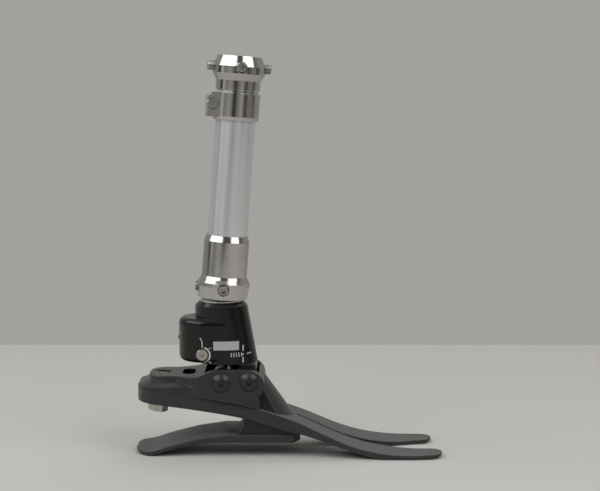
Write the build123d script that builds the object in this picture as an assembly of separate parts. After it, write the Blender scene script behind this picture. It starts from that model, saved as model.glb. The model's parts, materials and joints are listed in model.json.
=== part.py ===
"""Hydraulic ankle and split-toe carbon foot with a 30 mm pylon and a pyramid tube clamp.

Units are millimetres and degrees. +X points to the toes, +Z up, +Y to the far side of the
foot, and the origin is on the ground under the middle of the foot's length and width.
"""

import os
from math import atan2, cos, degrees, radians, sin, sqrt, tan

from build123d import *

# ---- Foot length and pivots ----
FOOT_LENGTH = 229.4
HEEL_TO_ANKLE = 85.6
ANKLE_Z = 56.6
PIVOT_SPACING = 20.7
PIVOT_DROP = 0.9

# ---- Clearances ----
RUNNING = 0.06
FIXED = 0.02
FREE = 0.5

# ---- Toe spring: the leaf's top height and thickness along its length ----
SPRING_REAR = 83.6
SPRING_CORNER = 14.0
SPRING_HALF_WIDTH = 25.0
SPRING_WAIST = 26.5
SPRING_SPREAD = 30.5
SPRING_BALL = 34.5
TOE_TIP_HALF_WIDTH = 33.4
TOE_TIP_WIDTH = 20.0
SHORT_PRONG = 4.5
SPLIT_GAP = 4.4
SPLIT_START = 0.27
SPLIT_LINE = ((0.75, 10.1), (0.61, 6.0), (0.40, 3.52))
SPREAD_AT = 0.27
BALL_AT = 0.68
MIDFOOT = (
    (-83.6, 51.3, 10.0),
    (-31.9, 44.0, 10.0),
    (-13.4, 40.8, 10.0),
    (8.1, 35.9, 10.4),
    (24.3, 30.9, 10.4),
)
FOREFOOT_TOP = ((0.07, 24.2), (0.27, 14.4), (0.47, 7.2), (0.67, 3.9), (0.87, 3.6), (1.0, 4.2))
FOREFOOT_BOTTOM = ((0.07, 16.4), (0.27, 9.5), (0.47, 2.8))
BALL_START = 0.63
BALL_END = 0.75
TOE_LIFT = 1.9
LEAF_EDGE = 0.5
LEAF_EDGE_LENGTH = 25.0

# ---- Heel spring ----
HEEL_HALF_WIDTH = 24.0
HEEL_TIP_RADIUS = 18.0
HEEL_SEAT_Z = 10.4
HEEL_THICKNESS = 5.8
HEEL_BEND = 16.9
HEEL_FRONT = 33.1
HEEL_LINE = ((0.15, 10.1, 4.9), (0.29, 9.5, 4.1), (0.52, 6.6, 3.3), (0.70, 3.1, 3.3), (0.83, 0.4, 3.4))
HEEL_CONTACT_START = 0.86
HEEL_CONTACT_END = 0.91
HEEL_LIFT = 1.5
HEEL_TIP_THICKNESS = 2.6

# ---- Heel wedge ----
WEDGE_HALF_WIDTH = 22.5
WEDGE_REAR = 8.4
WEDGE_HOLLOW = 4.6
WEDGE_FRONT = 38.0
WEDGE_NOSE_Z = 12.6

# ---- Carrier ----
RIM_Z = 52.8
LEDGE_Z = 56.2
DECK_Z = 60.0
DECK_REAR = 75.6
DECK_HALF_WIDTH = 18.0
DECK_CORNER = 12.0
CHEEK_TOP_Z = 65.6
CHEEK_HALF_WIDTH = 26.0
CHEEK_FRONT_RADIUS = 11.6
CHEEK_FRONT_SETBACK = 0.4
CHEEK_LOW_ANGLE = 50.0
CHEEK_RISE_START = 42.0
CHEEK_RISE_END = 24.0
DECK_WIDENING = 6.0
DEEP_Z = 30.0
CAVITY_HALF_WIDTH = 20.5
CAVITY_REAR = 32.5
CAVITY_FLOOR_Z = 45.2
NOSE_TIP_X = 34.5
NOSE_TIP_Z = 25.8
NOSE_TOP_X = 7.6
NOSE_TOP_Z = 63.2
NOSE_TOP_HALF_WIDTH = 15.0
SLOT_X = 46.0
SLOT_LENGTH = 9.6
SLOT_WIDTH = 21.0
SLOT_DEPTH = 8.5
DECK_EDGE = 0.5

# ---- Pivot pins ----
PIN_RADIUS = 4.5
PIN_WALL = 1.5
PIN_CORE = 4.0
PIN_HEAD_RIM = 2.75
PIN_HEAD_HEIGHT = 3.2
PIN_HEX = 4.0

# ---- Heel bolt and the bolts of the heel spring ----
HEEL_BOLT_X = 68.9
HEEL_BOLT_RADIUS = 4.0
HEEL_BOLT_ACROSS = 13.0
HEEL_BOLT_HEAD = 7.5
HEEL_WASHER_RADIUS = 8.6
HEEL_WASHER = 1.4
INSERT_RADIUS = 6.5
INSERT_DROP = 1.3
SPRING_BOLT_X = 10.1
SPRING_BOLT_Y = 11.0
SPRING_BOLT_RADIUS = 4.0
SPRING_BOLT_HEAD_RADIUS = 6.5
SPRING_BOLT_HEX = 4.0
SPRING_BOLT_HEX_DEPTH = 2.6
SPRING_BOLT_GRIP = 5.5
SPRING_WASHER_RADIUS = 8.0
SPRING_WASHER = 1.0

# ---- Ankle body ----
BODY_BOTTOM_Z = 68.7
BODY_NECK_Z = 111.5
BODY_TOP_Z = 114.2
BODY_HALF_WIDTH = 20.0
BODY_FRONT = 5.9
NECK_RADIUS = 19.65
NECK_SETBACK = 0.8
CROWN_RADIUS = 16.8
LOBE_SETBACK = 12.7
LOBE_BOTTOM_Z = 69.5
LOBE_TOP_Z = 102.5
LOBE_ROUND = 4.5
LUG_WALL = 3.5
LUG_HALF_WIDTH = 18.6
LUG_TOP_Z = 65.4
LUG_NECK_INSET = 1.2
THRUST_FLANGE = 3.1
BUSH_WALL = 1.0

# ---- Hydraulic cylinder ----
CYLINDER_RADIUS = 11.0
CYLINDER_TOP_Z = 104.0
GLAND_WALL = 2.0
GLAND_TOP_Z = 77.0
GLAND_FLANGE = 1.5
ROD_RADIUS = 4.0
ROD_TOP_Z = 97.0
EYE_WALL = 4.0
EYE_HALF_WIDTH = 6.0
EYE_CLEARANCE = 0.3
PISTON_BOTTOM_Z = 84.0
PISTON_HEIGHT = 9.0
SEAL_WIDTH = 2.4
SEAL_DEPTH = 2.0
ROD_SEAL_Z = 72.2
ROD_NUT_HEIGHT = 3.6
ROD_NUT_ACROSS = 13.0
SLEEVE_WALL = 3.0

# ---- Valves, gallery and plugs ----
VALVE_X = 14.2
VALVE_Z = 76.0
VALVE_RADIUS = 4.5
VALVE_STEM_RADIUS = 3.0
VALVE_DEPTH = 5.5
VALVE_STEM_LENGTH = 6.0
VALVE_HEX = 2.5
PORT_RADIUS = 1.5
GALLERY_X = 17.2
PORT_TOP_Z = 98.0
GALLERY_PLUG_RADIUS = 2.5
GALLERY_PLUG_LENGTH = 3.0
FILL_PLUG_Z = 88.5
FILL_PLUG_RADIUS = 3.5
FILL_PLUG_LENGTH = 6.0

# ---- Male pyramid on the body's top ----
DOME_RADIUS = 20.0
DOME_CENTRE_Z = 103.0
DOME_FLANGE_RADIUS = 16.0
PYRAMID_BASE_Z = 118.9
PYRAMID_TOP_Z = 131.0
PYRAMID_BASE_HALF = 6.0
PYRAMID_TOP_HALF = 8.2
PYRAMID_CORNER_RADIUS = 9.8
PYRAMID_SCREW_RADIUS = 4.0
PYRAMID_SCREW_HEAD_RADIUS = 6.0
PYRAMID_SCREW_HEAD = 5.0
PYRAMID_SPIGOT_RADIUS = 8.0
PYRAMID_SPIGOT_DEPTH = 2.5
PYRAMID_SCREW_REACH = 8.6

# ---- Pylon and its lower adapter, along the leaning tube axis ----
TUBE_LEAN = 4.43
TUBE_RADIUS = 15.0
TUBE_WALL = 1.6
TUBE_LENGTH = 138.0
ADAPTER_BOTTOM_Z = 116.8
ADAPTER_LIP_STEP = 3.35
ADAPTER_HEAD_STEP = 4.75
ADAPTER_HEAD_START = 8.8
ADAPTER_HEAD_END = 11.8
ADAPTER_NECK_START = 16.6
ADAPTER_WALL = 2.0
ADAPTER_SOCKET_FLOOR = 19.0
ADAPTER_BARREL_END = 42.7
ADAPTER_LENGTH = 47.2
ADAPTER_WEB = 2.0
ADAPTER_WEB_HOLE = 8.0
SEAT_GAP = 0.08
CHAMBER_RADIUS = 12.4
ADAPTER_TURN = 3.0

# ---- Set screws, shared by both adapters ----
SET_SCREW_RADIUS = 4.0
SET_SCREW_HEX = 4.0
SET_SCREW_POINT = 1.2
SET_SCREW_END = 1.0
LOWER_SCREW_HEIGHT = 7.3
LOWER_SCREW_LENGTH = 11.6
LOWER_SCREW_GAP = 0.15

# ---- Upper tube clamp, along the tube axis from its lower end ----
CLAMP_LENGTH = 47.3
CLAMP_LIP = 2.6
CLAMP_LIP_STEP = 1.5
CLAMP_BAND_WALL = 2.2
CLAMP_BAND_END = 20.1
CLAMP_GROOVE = 2.2
CLAMP_GROOVE_DEPTH = 1.0
CLAMP_NECK_STEP = 1.6
CLAMP_NECK_END = 29.3
CLAMP_HEAD_STEP = 4.5
CLAMP_HEAD_START = 34.3
CLAMP_HEAD_END = 39.6
CLAMP_TOP_STEP = 1.5
CLAMP_GRIP = 24.0
CLAMP_CHAMBER_START = 26.5
CLAMP_THROAT_RADIUS = 11.0
CLAMP_MOUTH_RADIUS = 13.5
CLAMP_TURN = 8.0
CLAMP_SCREW_HEIGHT = 39.2
CLAMP_SCREW_LENGTH = 9.8
CLAMP_SCREW_OUT = 4.1
CLAMP_SLIT = 1.6
CLAMP_LUG_REACH = 7.3
CLAMP_LUG_HALF = 11.0
CLAMP_LUG_START = 1.7
CLAMP_LUG_END = 19.8
CLAMP_LUG_SLOPE = 3.0
CLAMP_BOLT_OUT = 3.6
CLAMP_BOLT_HEIGHT = 11.3
CLAMP_BOLT_RADIUS = 2.5
CLAMP_BOLT_HEAD_RADIUS = 4.25
CLAMP_BOLT_HEAD = 4.0
CLAMP_BOLT_HEX = 4.0
CLAMP_BOLT_ROOM = 0.25

# ---- Worked-out places ----
HEEL_X = -FOOT_LENGTH / 2
TOE_X = FOOT_LENGTH / 2
ANKLE_X = HEEL_X + HEEL_TO_ANKLE
PISTON_X = ANKLE_X - PIVOT_SPACING
PISTON_Z = ANKLE_Z - PIVOT_DROP
SPRING_X = ANKLE_X - SPRING_REAR
NOSE_X = ANKLE_X + NOSE_TIP_X
FOREFOOT = TOE_X - NOSE_X
HEEL_BEND_X = ANKLE_X - HEEL_BEND
HEEL_REACH = HEEL_BEND_X - HEEL_X
HEEL_FRONT_X = ANKLE_X + HEEL_FRONT
NECK_X = PISTON_X - NECK_SETBACK
LOBE_X = PISTON_X - LOBE_SETBACK
PIN_SCREW_RADIUS = PIN_RADIUS - PIN_WALL
PIN_HEAD_RADIUS = PIN_RADIUS + PIN_HEAD_RIM
LUG_RADIUS = PIN_RADIUS + LUG_WALL
THRUST_WASHER_RADIUS = PIN_RADIUS + THRUST_FLANGE
SLEEVE_RADIUS = PIN_RADIUS + SLEEVE_WALL
EYE_RADIUS = PIN_RADIUS + EYE_WALL
GLAND_RADIUS = CYLINDER_RADIUS + GLAND_WALL
ADAPTER_BARREL_RADIUS = TUBE_RADIUS + ADAPTER_WALL
ADAPTER_HEAD_RADIUS = TUBE_RADIUS + ADAPTER_HEAD_STEP
ADAPTER_LIP_RADIUS = TUBE_RADIUS + ADAPTER_LIP_STEP
CLAMP_LIP_RADIUS = TUBE_RADIUS + CLAMP_LIP_STEP
CLAMP_BAND_RADIUS = TUBE_RADIUS + CLAMP_BAND_WALL
CLAMP_NECK_RADIUS = TUBE_RADIUS + CLAMP_NECK_STEP
CLAMP_HEAD_RADIUS = TUBE_RADIUS + CLAMP_HEAD_STEP
CLAMP_TOP_RADIUS = TUBE_RADIUS + CLAMP_TOP_STEP
CLAMP_BOLT_X = TUBE_RADIUS + CLAMP_BOLT_OUT
DOME = (NECK_X, 0, DOME_CENTRE_Z)
TUBE_AXIS = Pos(*DOME) * Rot(0, TUBE_LEAN, 0)
ADAPTER_START = (ADAPTER_BOTTOM_Z - DOME_CENTRE_Z) / cos(radians(TUBE_LEAN))
ADAPTER_AXIS = TUBE_AXIS * Pos(0, 0, ADAPTER_START) * Rot(0, 0, ADAPTER_TURN)
TUBE_START = ADAPTER_START + ADAPTER_SOCKET_FLOOR
TUBE_END = TUBE_START + TUBE_LENGTH
CLAMP_START = TUBE_END - CLAMP_GRIP
CLAMP_AXIS = TUBE_AXIS * Pos(0, 0, CLAMP_START) * Rot(0, 0, CLAMP_TURN)


# ---- Shared shapes ----
def rod(radius, bottom, top):
    """A cylinder about the local Z axis between two heights."""
    return Pos(0, 0, bottom) * Cylinder(radius, top - bottom, align=(Align.CENTER, Align.CENTER, Align.MIN))


def block(low, high):
    """A box between two opposite corners."""
    size = [b - a for a, b in zip(low, high)]
    return Pos(*low) * Box(*size, align=(Align.MIN, Align.MIN, Align.MIN))


def slab(edges, half_width):
    """A side outline drawn in X and Z, thickened evenly to both sides."""
    return extrude(Plane.XZ * make_face(edges), half_width, both=True)


def turned(points):
    """A turned piece from the (radius, height) corners of its half section."""
    return revolve(Plane.XZ * make_face(Polyline(*points, close=True)), Axis.Z)


def hexagon(across, bottom, top):
    """A hexagonal prism about the local Z axis."""
    face = RegularPolygon(across / 2, 6, major_radius=False)
    return Pos(0, 0, bottom) * extrude(face, top - bottom)


def across_foot(x, z):
    """The place of a pivot: its local Z axis runs across the foot, towards +Y."""
    return Pos(x, 0, z) * Rot(-90, 0, 0)


def quarter_turns(place, count=4):
    """Places round the local Z axis whose own Z axes point outwards."""
    return [place * Rot(0, 0, turn * 360 / count) * Rot(0, 90, 0) for turn in range(count)]


def socket_screw(radius, length, head_radius, head, across):
    """A socket screw: its head stands on the local XY plane and its shank goes down."""
    body = rod(radius, -length, 0) + rod(head_radius, 0, head)
    body = chamfer(body.edges().group_by(Axis.Z)[-1], 0.4)
    return body - hexagon(across, head * 0.4, head + 1)


def button_screw(radius, length):
    """A domed screw for a pivot pin's end."""
    dome_radius = (PIN_HEAD_RADIUS**2 + PIN_HEAD_HEIGHT**2) / (2 * PIN_HEAD_HEIGHT)
    dome = Pos(0, 0, PIN_HEAD_HEIGHT - dome_radius) * Sphere(dome_radius)
    head = dome & rod(PIN_HEAD_RADIUS, 0, PIN_HEAD_HEIGHT + 1)
    return head + rod(radius, -length, 0) - hexagon(PIN_HEX, PIN_HEAD_HEIGHT * 0.3, PIN_HEAD_HEIGHT + 1)


def set_screw(length):
    """A grub screw from its point at the local origin outwards to its hex socket."""
    body = rod(SET_SCREW_RADIUS - FIXED, 0, length)
    body = chamfer(body.edges().group_by(Axis.Z)[0], SET_SCREW_POINT)
    body = chamfer(body.edges().group_by(Axis.Z)[-1], SET_SCREW_END)
    return body - hexagon(SET_SCREW_HEX, length - SET_SCREW_HEX, length + 1)


def is_long_edge(edge):
    """Whether an edge runs along a leaf's upper or lower face."""
    return edge.length > LEAF_EDGE_LENGTH and abs((edge % 0.5).Z) < 0.6


def broken_edges(leaf):
    """A leaf with its long upper and lower edges broken."""
    return chamfer(leaf.edges().filter_by(is_long_edge), LEAF_EDGE)


# ---- Springs ----
def forefoot(fraction):
    """The X of a place ahead of the carrier, as a share of the way to the toe tip."""
    return NOSE_X + fraction * FOREFOOT


def toe_top_points():
    """The toe spring's upper line from its rear end to the toe tip."""
    rear = [(ANKLE_X + x, z) for x, z, _ in MIDFOOT]
    return rear + [(forefoot(f), z) for f, z in FOREFOOT_TOP]


def toe_slab():
    """The toe spring's side shape, wider than the foot."""
    top_points = toe_top_points()
    rear = [(ANKLE_X + x, z - thick) for x, z, thick in MIDFOOT]
    front = [(forefoot(f), z) for f, z in FOREFOOT_BOTTOM]
    ball_start = (forefoot(BALL_START), 0)
    ball_end = (forefoot(BALL_END), 0)
    toe = (TOE_X, TOE_LIFT)
    edges = [
        Spline(*top_points),
        Line(top_points[-1], toe),
        Spline(toe, ball_end, tangents=[(-1, -0.12), (-1, 0)]),
        Line(ball_end, ball_start),
        Spline(ball_start, *reversed(rear + front), tangents=[(-1, 0), (-1, 0.13)]),
        Line(rear[0], top_points[0]),
    ]
    return slab(edges, 60)


def toe_half(side, tip):
    """One half of the toe spring's plan, with one prong whose tip reaches the X given."""
    corner = SPRING_CORNER
    wide = SPRING_HALF_WIDTH
    shoulder = tip - TOE_TIP_WIDTH * 0.45
    inner_tip = TOE_TIP_HALF_WIDTH - TOE_TIP_WIDTH
    split = SPLIT_GAP / 2
    diagonal = corner * (1 - sqrt(0.5))
    edges = [
        Line((SPRING_X, 0), (SPRING_X, wide - corner)),
        ThreePointArc(
            (SPRING_X, wide - corner), (SPRING_X + diagonal, wide - diagonal), (SPRING_X + corner, wide)
        ),
        Spline(
            (SPRING_X + corner, wide),
            (NOSE_X, SPRING_WAIST),
            (forefoot(SPREAD_AT), SPRING_SPREAD),
            (forefoot(BALL_AT), SPRING_BALL),
            (shoulder, TOE_TIP_HALF_WIDTH),
            tangents=[(1, 0), (1, -0.12)],
        ),
        ThreePointArc(
            (shoulder, TOE_TIP_HALF_WIDTH),
            (tip, TOE_TIP_HALF_WIDTH - TOE_TIP_WIDTH / 2),
            (shoulder, inner_tip),
        ),
        Spline(
            (shoulder, inner_tip),
            *[(forefoot(fraction), y) for fraction, y in SPLIT_LINE],
            (forefoot(SPLIT_START), split),
            tangents=[(-1, -0.1), (-1, 0)],
        ),
        Line((forefoot(SPLIT_START), split), (NOSE_X + split, split)),
        Line((NOSE_X + split, split), (NOSE_X, 0)),
        Line((NOSE_X, 0), (SPRING_X, 0)),
    ]
    half = make_face(edges)
    return half if side > 0 else mirror(half, Plane.XZ)


def toe_spring():
    plan = toe_half(1, TOE_X - SHORT_PRONG) + toe_half(-1, TOE_X)
    leaf = broken_edges(toe_slab() & extrude(plan, 80))
    leaf -= HEEL_BOLT_AXIS * rod(HEEL_BOLT_RADIUS + FIXED, -5, 25)
    for place in spring_bolt_places():
        leaf -= place * rod(SPRING_BOLT_RADIUS + FIXED, -5, 40)
    return leaf


def heel_reach(fraction):
    """The X of a place behind the heel spring's seat, as a share of the way to its tip."""
    return HEEL_BEND_X - fraction * HEEL_REACH


def heel_slab():
    """The heel spring's side shape, wider than the foot."""
    bottom = [(heel_reach(f), z) for f, z, _ in HEEL_LINE]
    top = [(heel_reach(f), z + thick) for f, z, thick in HEEL_LINE]
    seat_top = HEEL_SEAT_Z + HEEL_THICKNESS
    contact_start = (heel_reach(HEEL_CONTACT_START), 0)
    contact_end = (heel_reach(HEEL_CONTACT_END), 0)
    tip_low = (HEEL_X, HEEL_LIFT)
    tip_high = (HEEL_X, HEEL_LIFT + HEEL_TIP_THICKNESS)
    edges = [
        Line((HEEL_FRONT_X, seat_top), (HEEL_BEND_X, seat_top)),
        Spline((HEEL_BEND_X, seat_top), *top, tip_high, tangents=[(-1, 0), (-1, 0.05)]),
        Line(tip_high, tip_low),
        Spline(tip_low, contact_end, tangents=[(1, -0.3), (1, 0)]),
        Line(contact_end, contact_start),
        Spline(contact_start, *reversed(bottom), (HEEL_BEND_X, HEEL_SEAT_Z), tangents=[(1, 0), (1, 0)]),
        Line((HEEL_BEND_X, HEEL_SEAT_Z), (HEEL_FRONT_X, HEEL_SEAT_Z)),
        Line((HEEL_FRONT_X, HEEL_SEAT_Z), (HEEL_FRONT_X, seat_top)),
    ]
    return slab(edges, 60)


def rear_rounded_plan(rear, front, half_width, corner):
    """A plan from a rear end with two rounded corners to a square front end."""
    length = front - rear
    plan = Pos((rear + front) / 2, 0) * Rectangle(length, 2 * half_width)
    return fillet(plan.vertices().group_by(Axis.X)[0], corner)


def heel_spring():
    plan = rear_rounded_plan(HEEL_X, HEEL_FRONT_X, HEEL_HALF_WIDTH, HEEL_TIP_RADIUS)
    leaf = broken_edges(heel_slab() & extrude(plan, 80))
    for place in spring_bolt_places():
        leaf -= place * (rod(SPRING_BOLT_RADIUS + FIXED, -5, 40) + sunk_cone(FIXED))
    return leaf


def heel_wedge():
    """The spacer between the springs, with a hollow rear face and a lip round the heel spring's end."""
    rear_x = ANKLE_X - WEDGE_REAR
    front_x = ANKLE_X + WEDGE_FRONT
    seat_top = HEEL_SEAT_Z + HEEL_THICKNESS
    spring_top = spring_top_z(rear_x)
    middle = (rear_x + WEDGE_HOLLOW, (seat_top + spring_top) / 2)
    edges = [
        ThreePointArc((rear_x, seat_top), middle, (rear_x - 2, spring_top)),
        Line((rear_x - 2, spring_top), (front_x, spring_top)),
        Line((front_x, spring_top), (front_x, WEDGE_NOSE_Z)),
        Line((front_x, WEDGE_NOSE_Z), (HEEL_FRONT_X + FIXED, HEEL_SEAT_Z)),
        Line((HEEL_FRONT_X + FIXED, HEEL_SEAT_Z), (HEEL_FRONT_X + FIXED, seat_top)),
        Line((HEEL_FRONT_X + FIXED, seat_top), (rear_x, seat_top)),
    ]
    wedge = slab(edges, WEDGE_HALF_WIDTH) - toe_slab()
    wedge = wedge.solids().sort_by(Axis.Z)[0]
    for place in spring_bolt_places():
        wedge -= place * rod(SPRING_BOLT_RADIUS + FIXED, -5, 40)
    return wedge


# ---- Bolts under the foot ----
def spring_top_z(x):
    """The height of the toe spring's upper line at a place under the carrier."""
    points = [(ANKLE_X + a, z) for a, z, _ in MIDFOOT]
    for (x0, z0), (x1, z1) in zip(points, points[1:]):
        if x <= x1:
            return z0 + (z1 - z0) * (x - x0) / (x1 - x0)
    return points[-1][1]


REAR_SLOPE = degrees(atan2(MIDFOOT[0][1] - MIDFOOT[1][1], MIDFOOT[1][0] - MIDFOOT[0][0]))
SPRING_REAR_THICKNESS = MIDFOOT[0][2]
HEEL_BOLT_PLACE_X = ANKLE_X - HEEL_BOLT_X
HEEL_BOLT_SEAT_Z = spring_top_z(HEEL_BOLT_PLACE_X) - SPRING_REAR_THICKNESS
HEEL_BOLT_AXIS = Pos(HEEL_BOLT_PLACE_X, 0, HEEL_BOLT_SEAT_Z) * Rot(0, REAR_SLOPE, 0)
DECK_ABOVE_SEAT = (DECK_Z - HEEL_BOLT_SEAT_Z) / cos(radians(REAR_SLOPE))


def spring_bolt_places():
    """The places of the two bolts that hold the heel spring, at its underside."""
    x = ANKLE_X + SPRING_BOLT_X
    return [Pos(x, side * SPRING_BOLT_Y, HEEL_SEAT_Z) for side in (-1, 1)]


def spring_bolt_reach():
    """The length of a heel spring bolt above the heel spring's underside."""
    return spring_top_z(ANKLE_X + SPRING_BOLT_X) + SPRING_BOLT_GRIP - HEEL_SEAT_Z


def sunk_cone(clearance):
    """The cone of a countersunk head, from the cup washer's face up into the heel spring."""
    low = -SPRING_WASHER
    high = low + SPRING_BOLT_HEAD_RADIUS - SPRING_BOLT_RADIUS
    wide = SPRING_BOLT_HEAD_RADIUS + clearance
    return turned([(0, low), (wide, low), (SPRING_BOLT_RADIUS + clearance, high), (0, high)])


def heel_spring_bolts():
    """The two countersunk screws that hold the heel spring and the wedge to the carrier."""
    bolt = sunk_cone(0) + rod(SPRING_BOLT_RADIUS, 0, spring_bolt_reach())
    bolt -= hexagon(SPRING_BOLT_HEX, -SPRING_WASHER - 1, SPRING_BOLT_HEX_DEPTH - SPRING_WASHER)
    return [place * bolt for place in spring_bolt_places()]


def heel_spring_washers():
    """The thin cup washers round the countersunk heads."""
    ring = rod(SPRING_WASHER_RADIUS, -SPRING_WASHER, 0) - sunk_cone(FIXED)
    return [place * ring for place in spring_bolt_places()]


def heel_bolt():
    """The hexagon bolt that clamps the toe spring's rear end to the carrier."""
    head_top = -HEEL_WASHER
    head = hexagon(HEEL_BOLT_ACROSS, head_top - HEEL_BOLT_HEAD, head_top)
    bevel = HEEL_BOLT_ACROSS / 2 + 0.6
    low = head_top - HEEL_BOLT_HEAD
    wide = bevel + 1.5
    head &= turned([(0, low), (bevel - 0.5, low), (wide, low + 1.1), (wide, head_top), (0, head_top)])
    bolt = head + rod(HEEL_BOLT_RADIUS, head_top, DECK_ABOVE_SEAT - 3)
    return HEEL_BOLT_AXIS * bolt


def heel_bolt_washer():
    ring = rod(HEEL_WASHER_RADIUS, -HEEL_WASHER, 0) - rod(HEEL_BOLT_RADIUS + FIXED, -5, 5)
    return HEEL_BOLT_AXIS * ring


def heel_bolt_insert():
    """The threaded insert in the carrier's deck that takes the heel bolt."""
    bottom = SPRING_REAR_THICKNESS + 1.2
    insert = rod(INSERT_RADIUS, bottom, DECK_ABOVE_SEAT - INSERT_DROP)
    insert -= rod(HEEL_BOLT_RADIUS + FIXED, 0, 40)
    return HEEL_BOLT_AXIS * insert


# ---- Carrier ----
def carrier_base():
    """The tray that lies on the toe spring, with its sloping ledge."""
    front = ANKLE_X + NOSE_TOP_X
    tray = rear_rounded_plan(SPRING_X, front, SPRING_HALF_WIDTH, SPRING_CORNER)
    deck = rear_rounded_plan(ANKLE_X - DECK_REAR, front, DECK_HALF_WIDTH, DECK_CORNER)
    wall = extrude(Pos(0, 0, 20) * tray, RIM_Z - 20)
    ledge = loft([Pos(0, 0, RIM_Z) * tray, Pos(0, 0, LEDGE_Z) * deck])
    return wall + ledge


def carrier_upper_plan():
    """The plan of the deck, widening to the cheeks."""
    rear = ANKLE_X - DECK_REAR
    front = ANKLE_X + 2 * CHEEK_FRONT_RADIUS
    corner = DECK_CORNER
    diagonal = corner * (1 - sqrt(0.5))
    widening = rear + corner + DECK_WIDENING
    widened = ANKLE_X - CAVITY_REAR - DECK_WIDENING / 2
    half = [
        Line((rear, 0), (rear, DECK_HALF_WIDTH - corner)),
        ThreePointArc(
            (rear, DECK_HALF_WIDTH - corner),
            (rear + diagonal, DECK_HALF_WIDTH - diagonal),
            (rear + corner, DECK_HALF_WIDTH),
        ),
        Line((rear + corner, DECK_HALF_WIDTH), (widening, DECK_HALF_WIDTH)),
        Spline((widening, DECK_HALF_WIDTH), (widened, CHEEK_HALF_WIDTH), tangents=[(1, 0), (1, 0)]),
        Line((widened, CHEEK_HALF_WIDTH), (front, CHEEK_HALF_WIDTH)),
        Line((front, CHEEK_HALF_WIDTH), (front, 0)),
        Line((front, 0), (rear, 0)),
    ]
    face = make_face(half)
    return face + mirror(face, Plane.XZ)


def cheek_profile():
    """The side outline of the deck and the cheeks."""
    rear = ANKLE_X - DECK_REAR
    deck_end = (ANKLE_X - CHEEK_RISE_START, DECK_Z)
    cheek_start = (ANKLE_X - CHEEK_RISE_END, CHEEK_TOP_Z)
    centre = (ANKLE_X - CHEEK_FRONT_SETBACK, CHEEK_TOP_Z - CHEEK_FRONT_RADIUS)

    def rim(angle):
        """A point of the round front at an angle above the horizontal."""
        x = centre[0] + CHEEK_FRONT_RADIUS * cos(radians(angle))
        return (x, centre[1] + CHEEK_FRONT_RADIUS * sin(radians(angle)))

    low = rim(-CHEEK_LOW_ANGLE)
    foot = (ANKLE_X, DEEP_Z)
    return [
        Line((rear, DEEP_Z), (rear, DECK_Z)),
        Line((rear, DECK_Z), deck_end),
        Spline(deck_end, cheek_start, tangents=[(1, 0.05), (1, 0.05)]),
        Line(cheek_start, rim(90)),
        ThreePointArc(rim(90), rim(45), rim(0)),
        ThreePointArc(rim(0), rim(-CHEEK_LOW_ANGLE / 2), low),
        Line(low, foot),
        Line(foot, (rear, DEEP_Z)),
    ]


def nose_section(z, half_width, depth):
    """A level section of the nose, whose tip lies on the nose's straight stem."""
    share = (z - NOSE_TIP_Z) / (NOSE_TOP_Z - NOSE_TIP_Z)
    tip = NOSE_X + share * (ANKLE_X + NOSE_TOP_X - NOSE_X)
    rear = ANKLE_X - 6
    shoulder = tip - depth
    edges = [
        Line((rear, -half_width), (shoulder, -half_width)),
        ThreePointArc((shoulder, -half_width), (tip, 0), (shoulder, half_width)),
        Line((shoulder, half_width), (rear, half_width)),
        Line((rear, half_width), (rear, -half_width)),
    ]
    return Pos(0, 0, z) * make_face(edges)


def carrier_nose():
    low = nose_section(20, SPRING_HALF_WIDTH, 11)
    high = nose_section(NOSE_TOP_Z, NOSE_TOP_HALF_WIDTH, 5)
    return loft([low, high])


def carrier_cavity():
    """The space between the cheeks that takes the ankle body's lug and the rod's eye."""
    rear = ANKLE_X - CAVITY_REAR
    front = ANKLE_X + LUG_RADIUS + FREE + 0.3
    floor = CAVITY_FLOOR_Z
    top = CHEEK_TOP_Z + 5
    points = [
        (rear - 1.5, top),
        (rear, floor + 3),
        (rear + 5, floor + 0.6),
        (front, floor - 0.8),
        (front, ANKLE_Z + 1),
        (front - 2, NOSE_TOP_Z + 1),
        (front - 2, top),
    ]
    return slab(Polyline(*points, close=True), CAVITY_HALF_WIDTH)


def deck_slot():
    """The oblong opening across the deck behind the ankle."""
    plan = Pos(ANKLE_X - SLOT_X, 0) * Rot(0, 0, 90) * SlotOverall(SLOT_WIDTH, SLOT_LENGTH)
    return extrude(Pos(0, 0, DECK_Z - SLOT_DEPTH) * plan, SLOT_DEPTH + 5)


def on_deck_rim(edge):
    """Whether an edge is part of the rim round the deck and along the cheeks' tops."""
    middle = edge.center()
    direction = edge % 0.5
    return middle.Z > RIM_Z and abs(middle.Y) > 1 and abs(direction.Z) < 0.9 and abs(direction.Y) < 0.95


def carrier():
    under = slab([Polyline(*under_spring_points(), close=True)], 80) + toe_slab()
    upper = extrude(Pos(0, 0, 30) * carrier_upper_plan(), 60) & slab(cheek_profile(), 60)
    rim = upper.edges().filter_by(on_deck_rim)
    upper = chamfer(rim, DECK_EDGE)
    body = carrier_base() + upper + carrier_nose()
    body -= under
    body = body.solids().sort_by(SortBy.VOLUME)[-1]
    body -= carrier_cavity()
    body -= deck_slot()
    body -= HEEL_BOLT_AXIS * rod(INSERT_RADIUS + FIXED, SPRING_REAR_THICKNESS + 1.2, 40)
    body -= HEEL_BOLT_AXIS * rod(HEEL_BOLT_RADIUS + FIXED, 0, 40)
    for x, z in ((ANKLE_X, ANKLE_Z), (PISTON_X, PISTON_Z)):
        body -= across_foot(x, z) * rod(PIN_RADIUS + FIXED, -60, 60)
    for place in spring_bolt_places():
        body -= place * rod(SPRING_BOLT_RADIUS + FIXED, 0, spring_bolt_reach() + 1)
    return body.solids().sort_by(SortBy.VOLUME)[-1]


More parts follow.
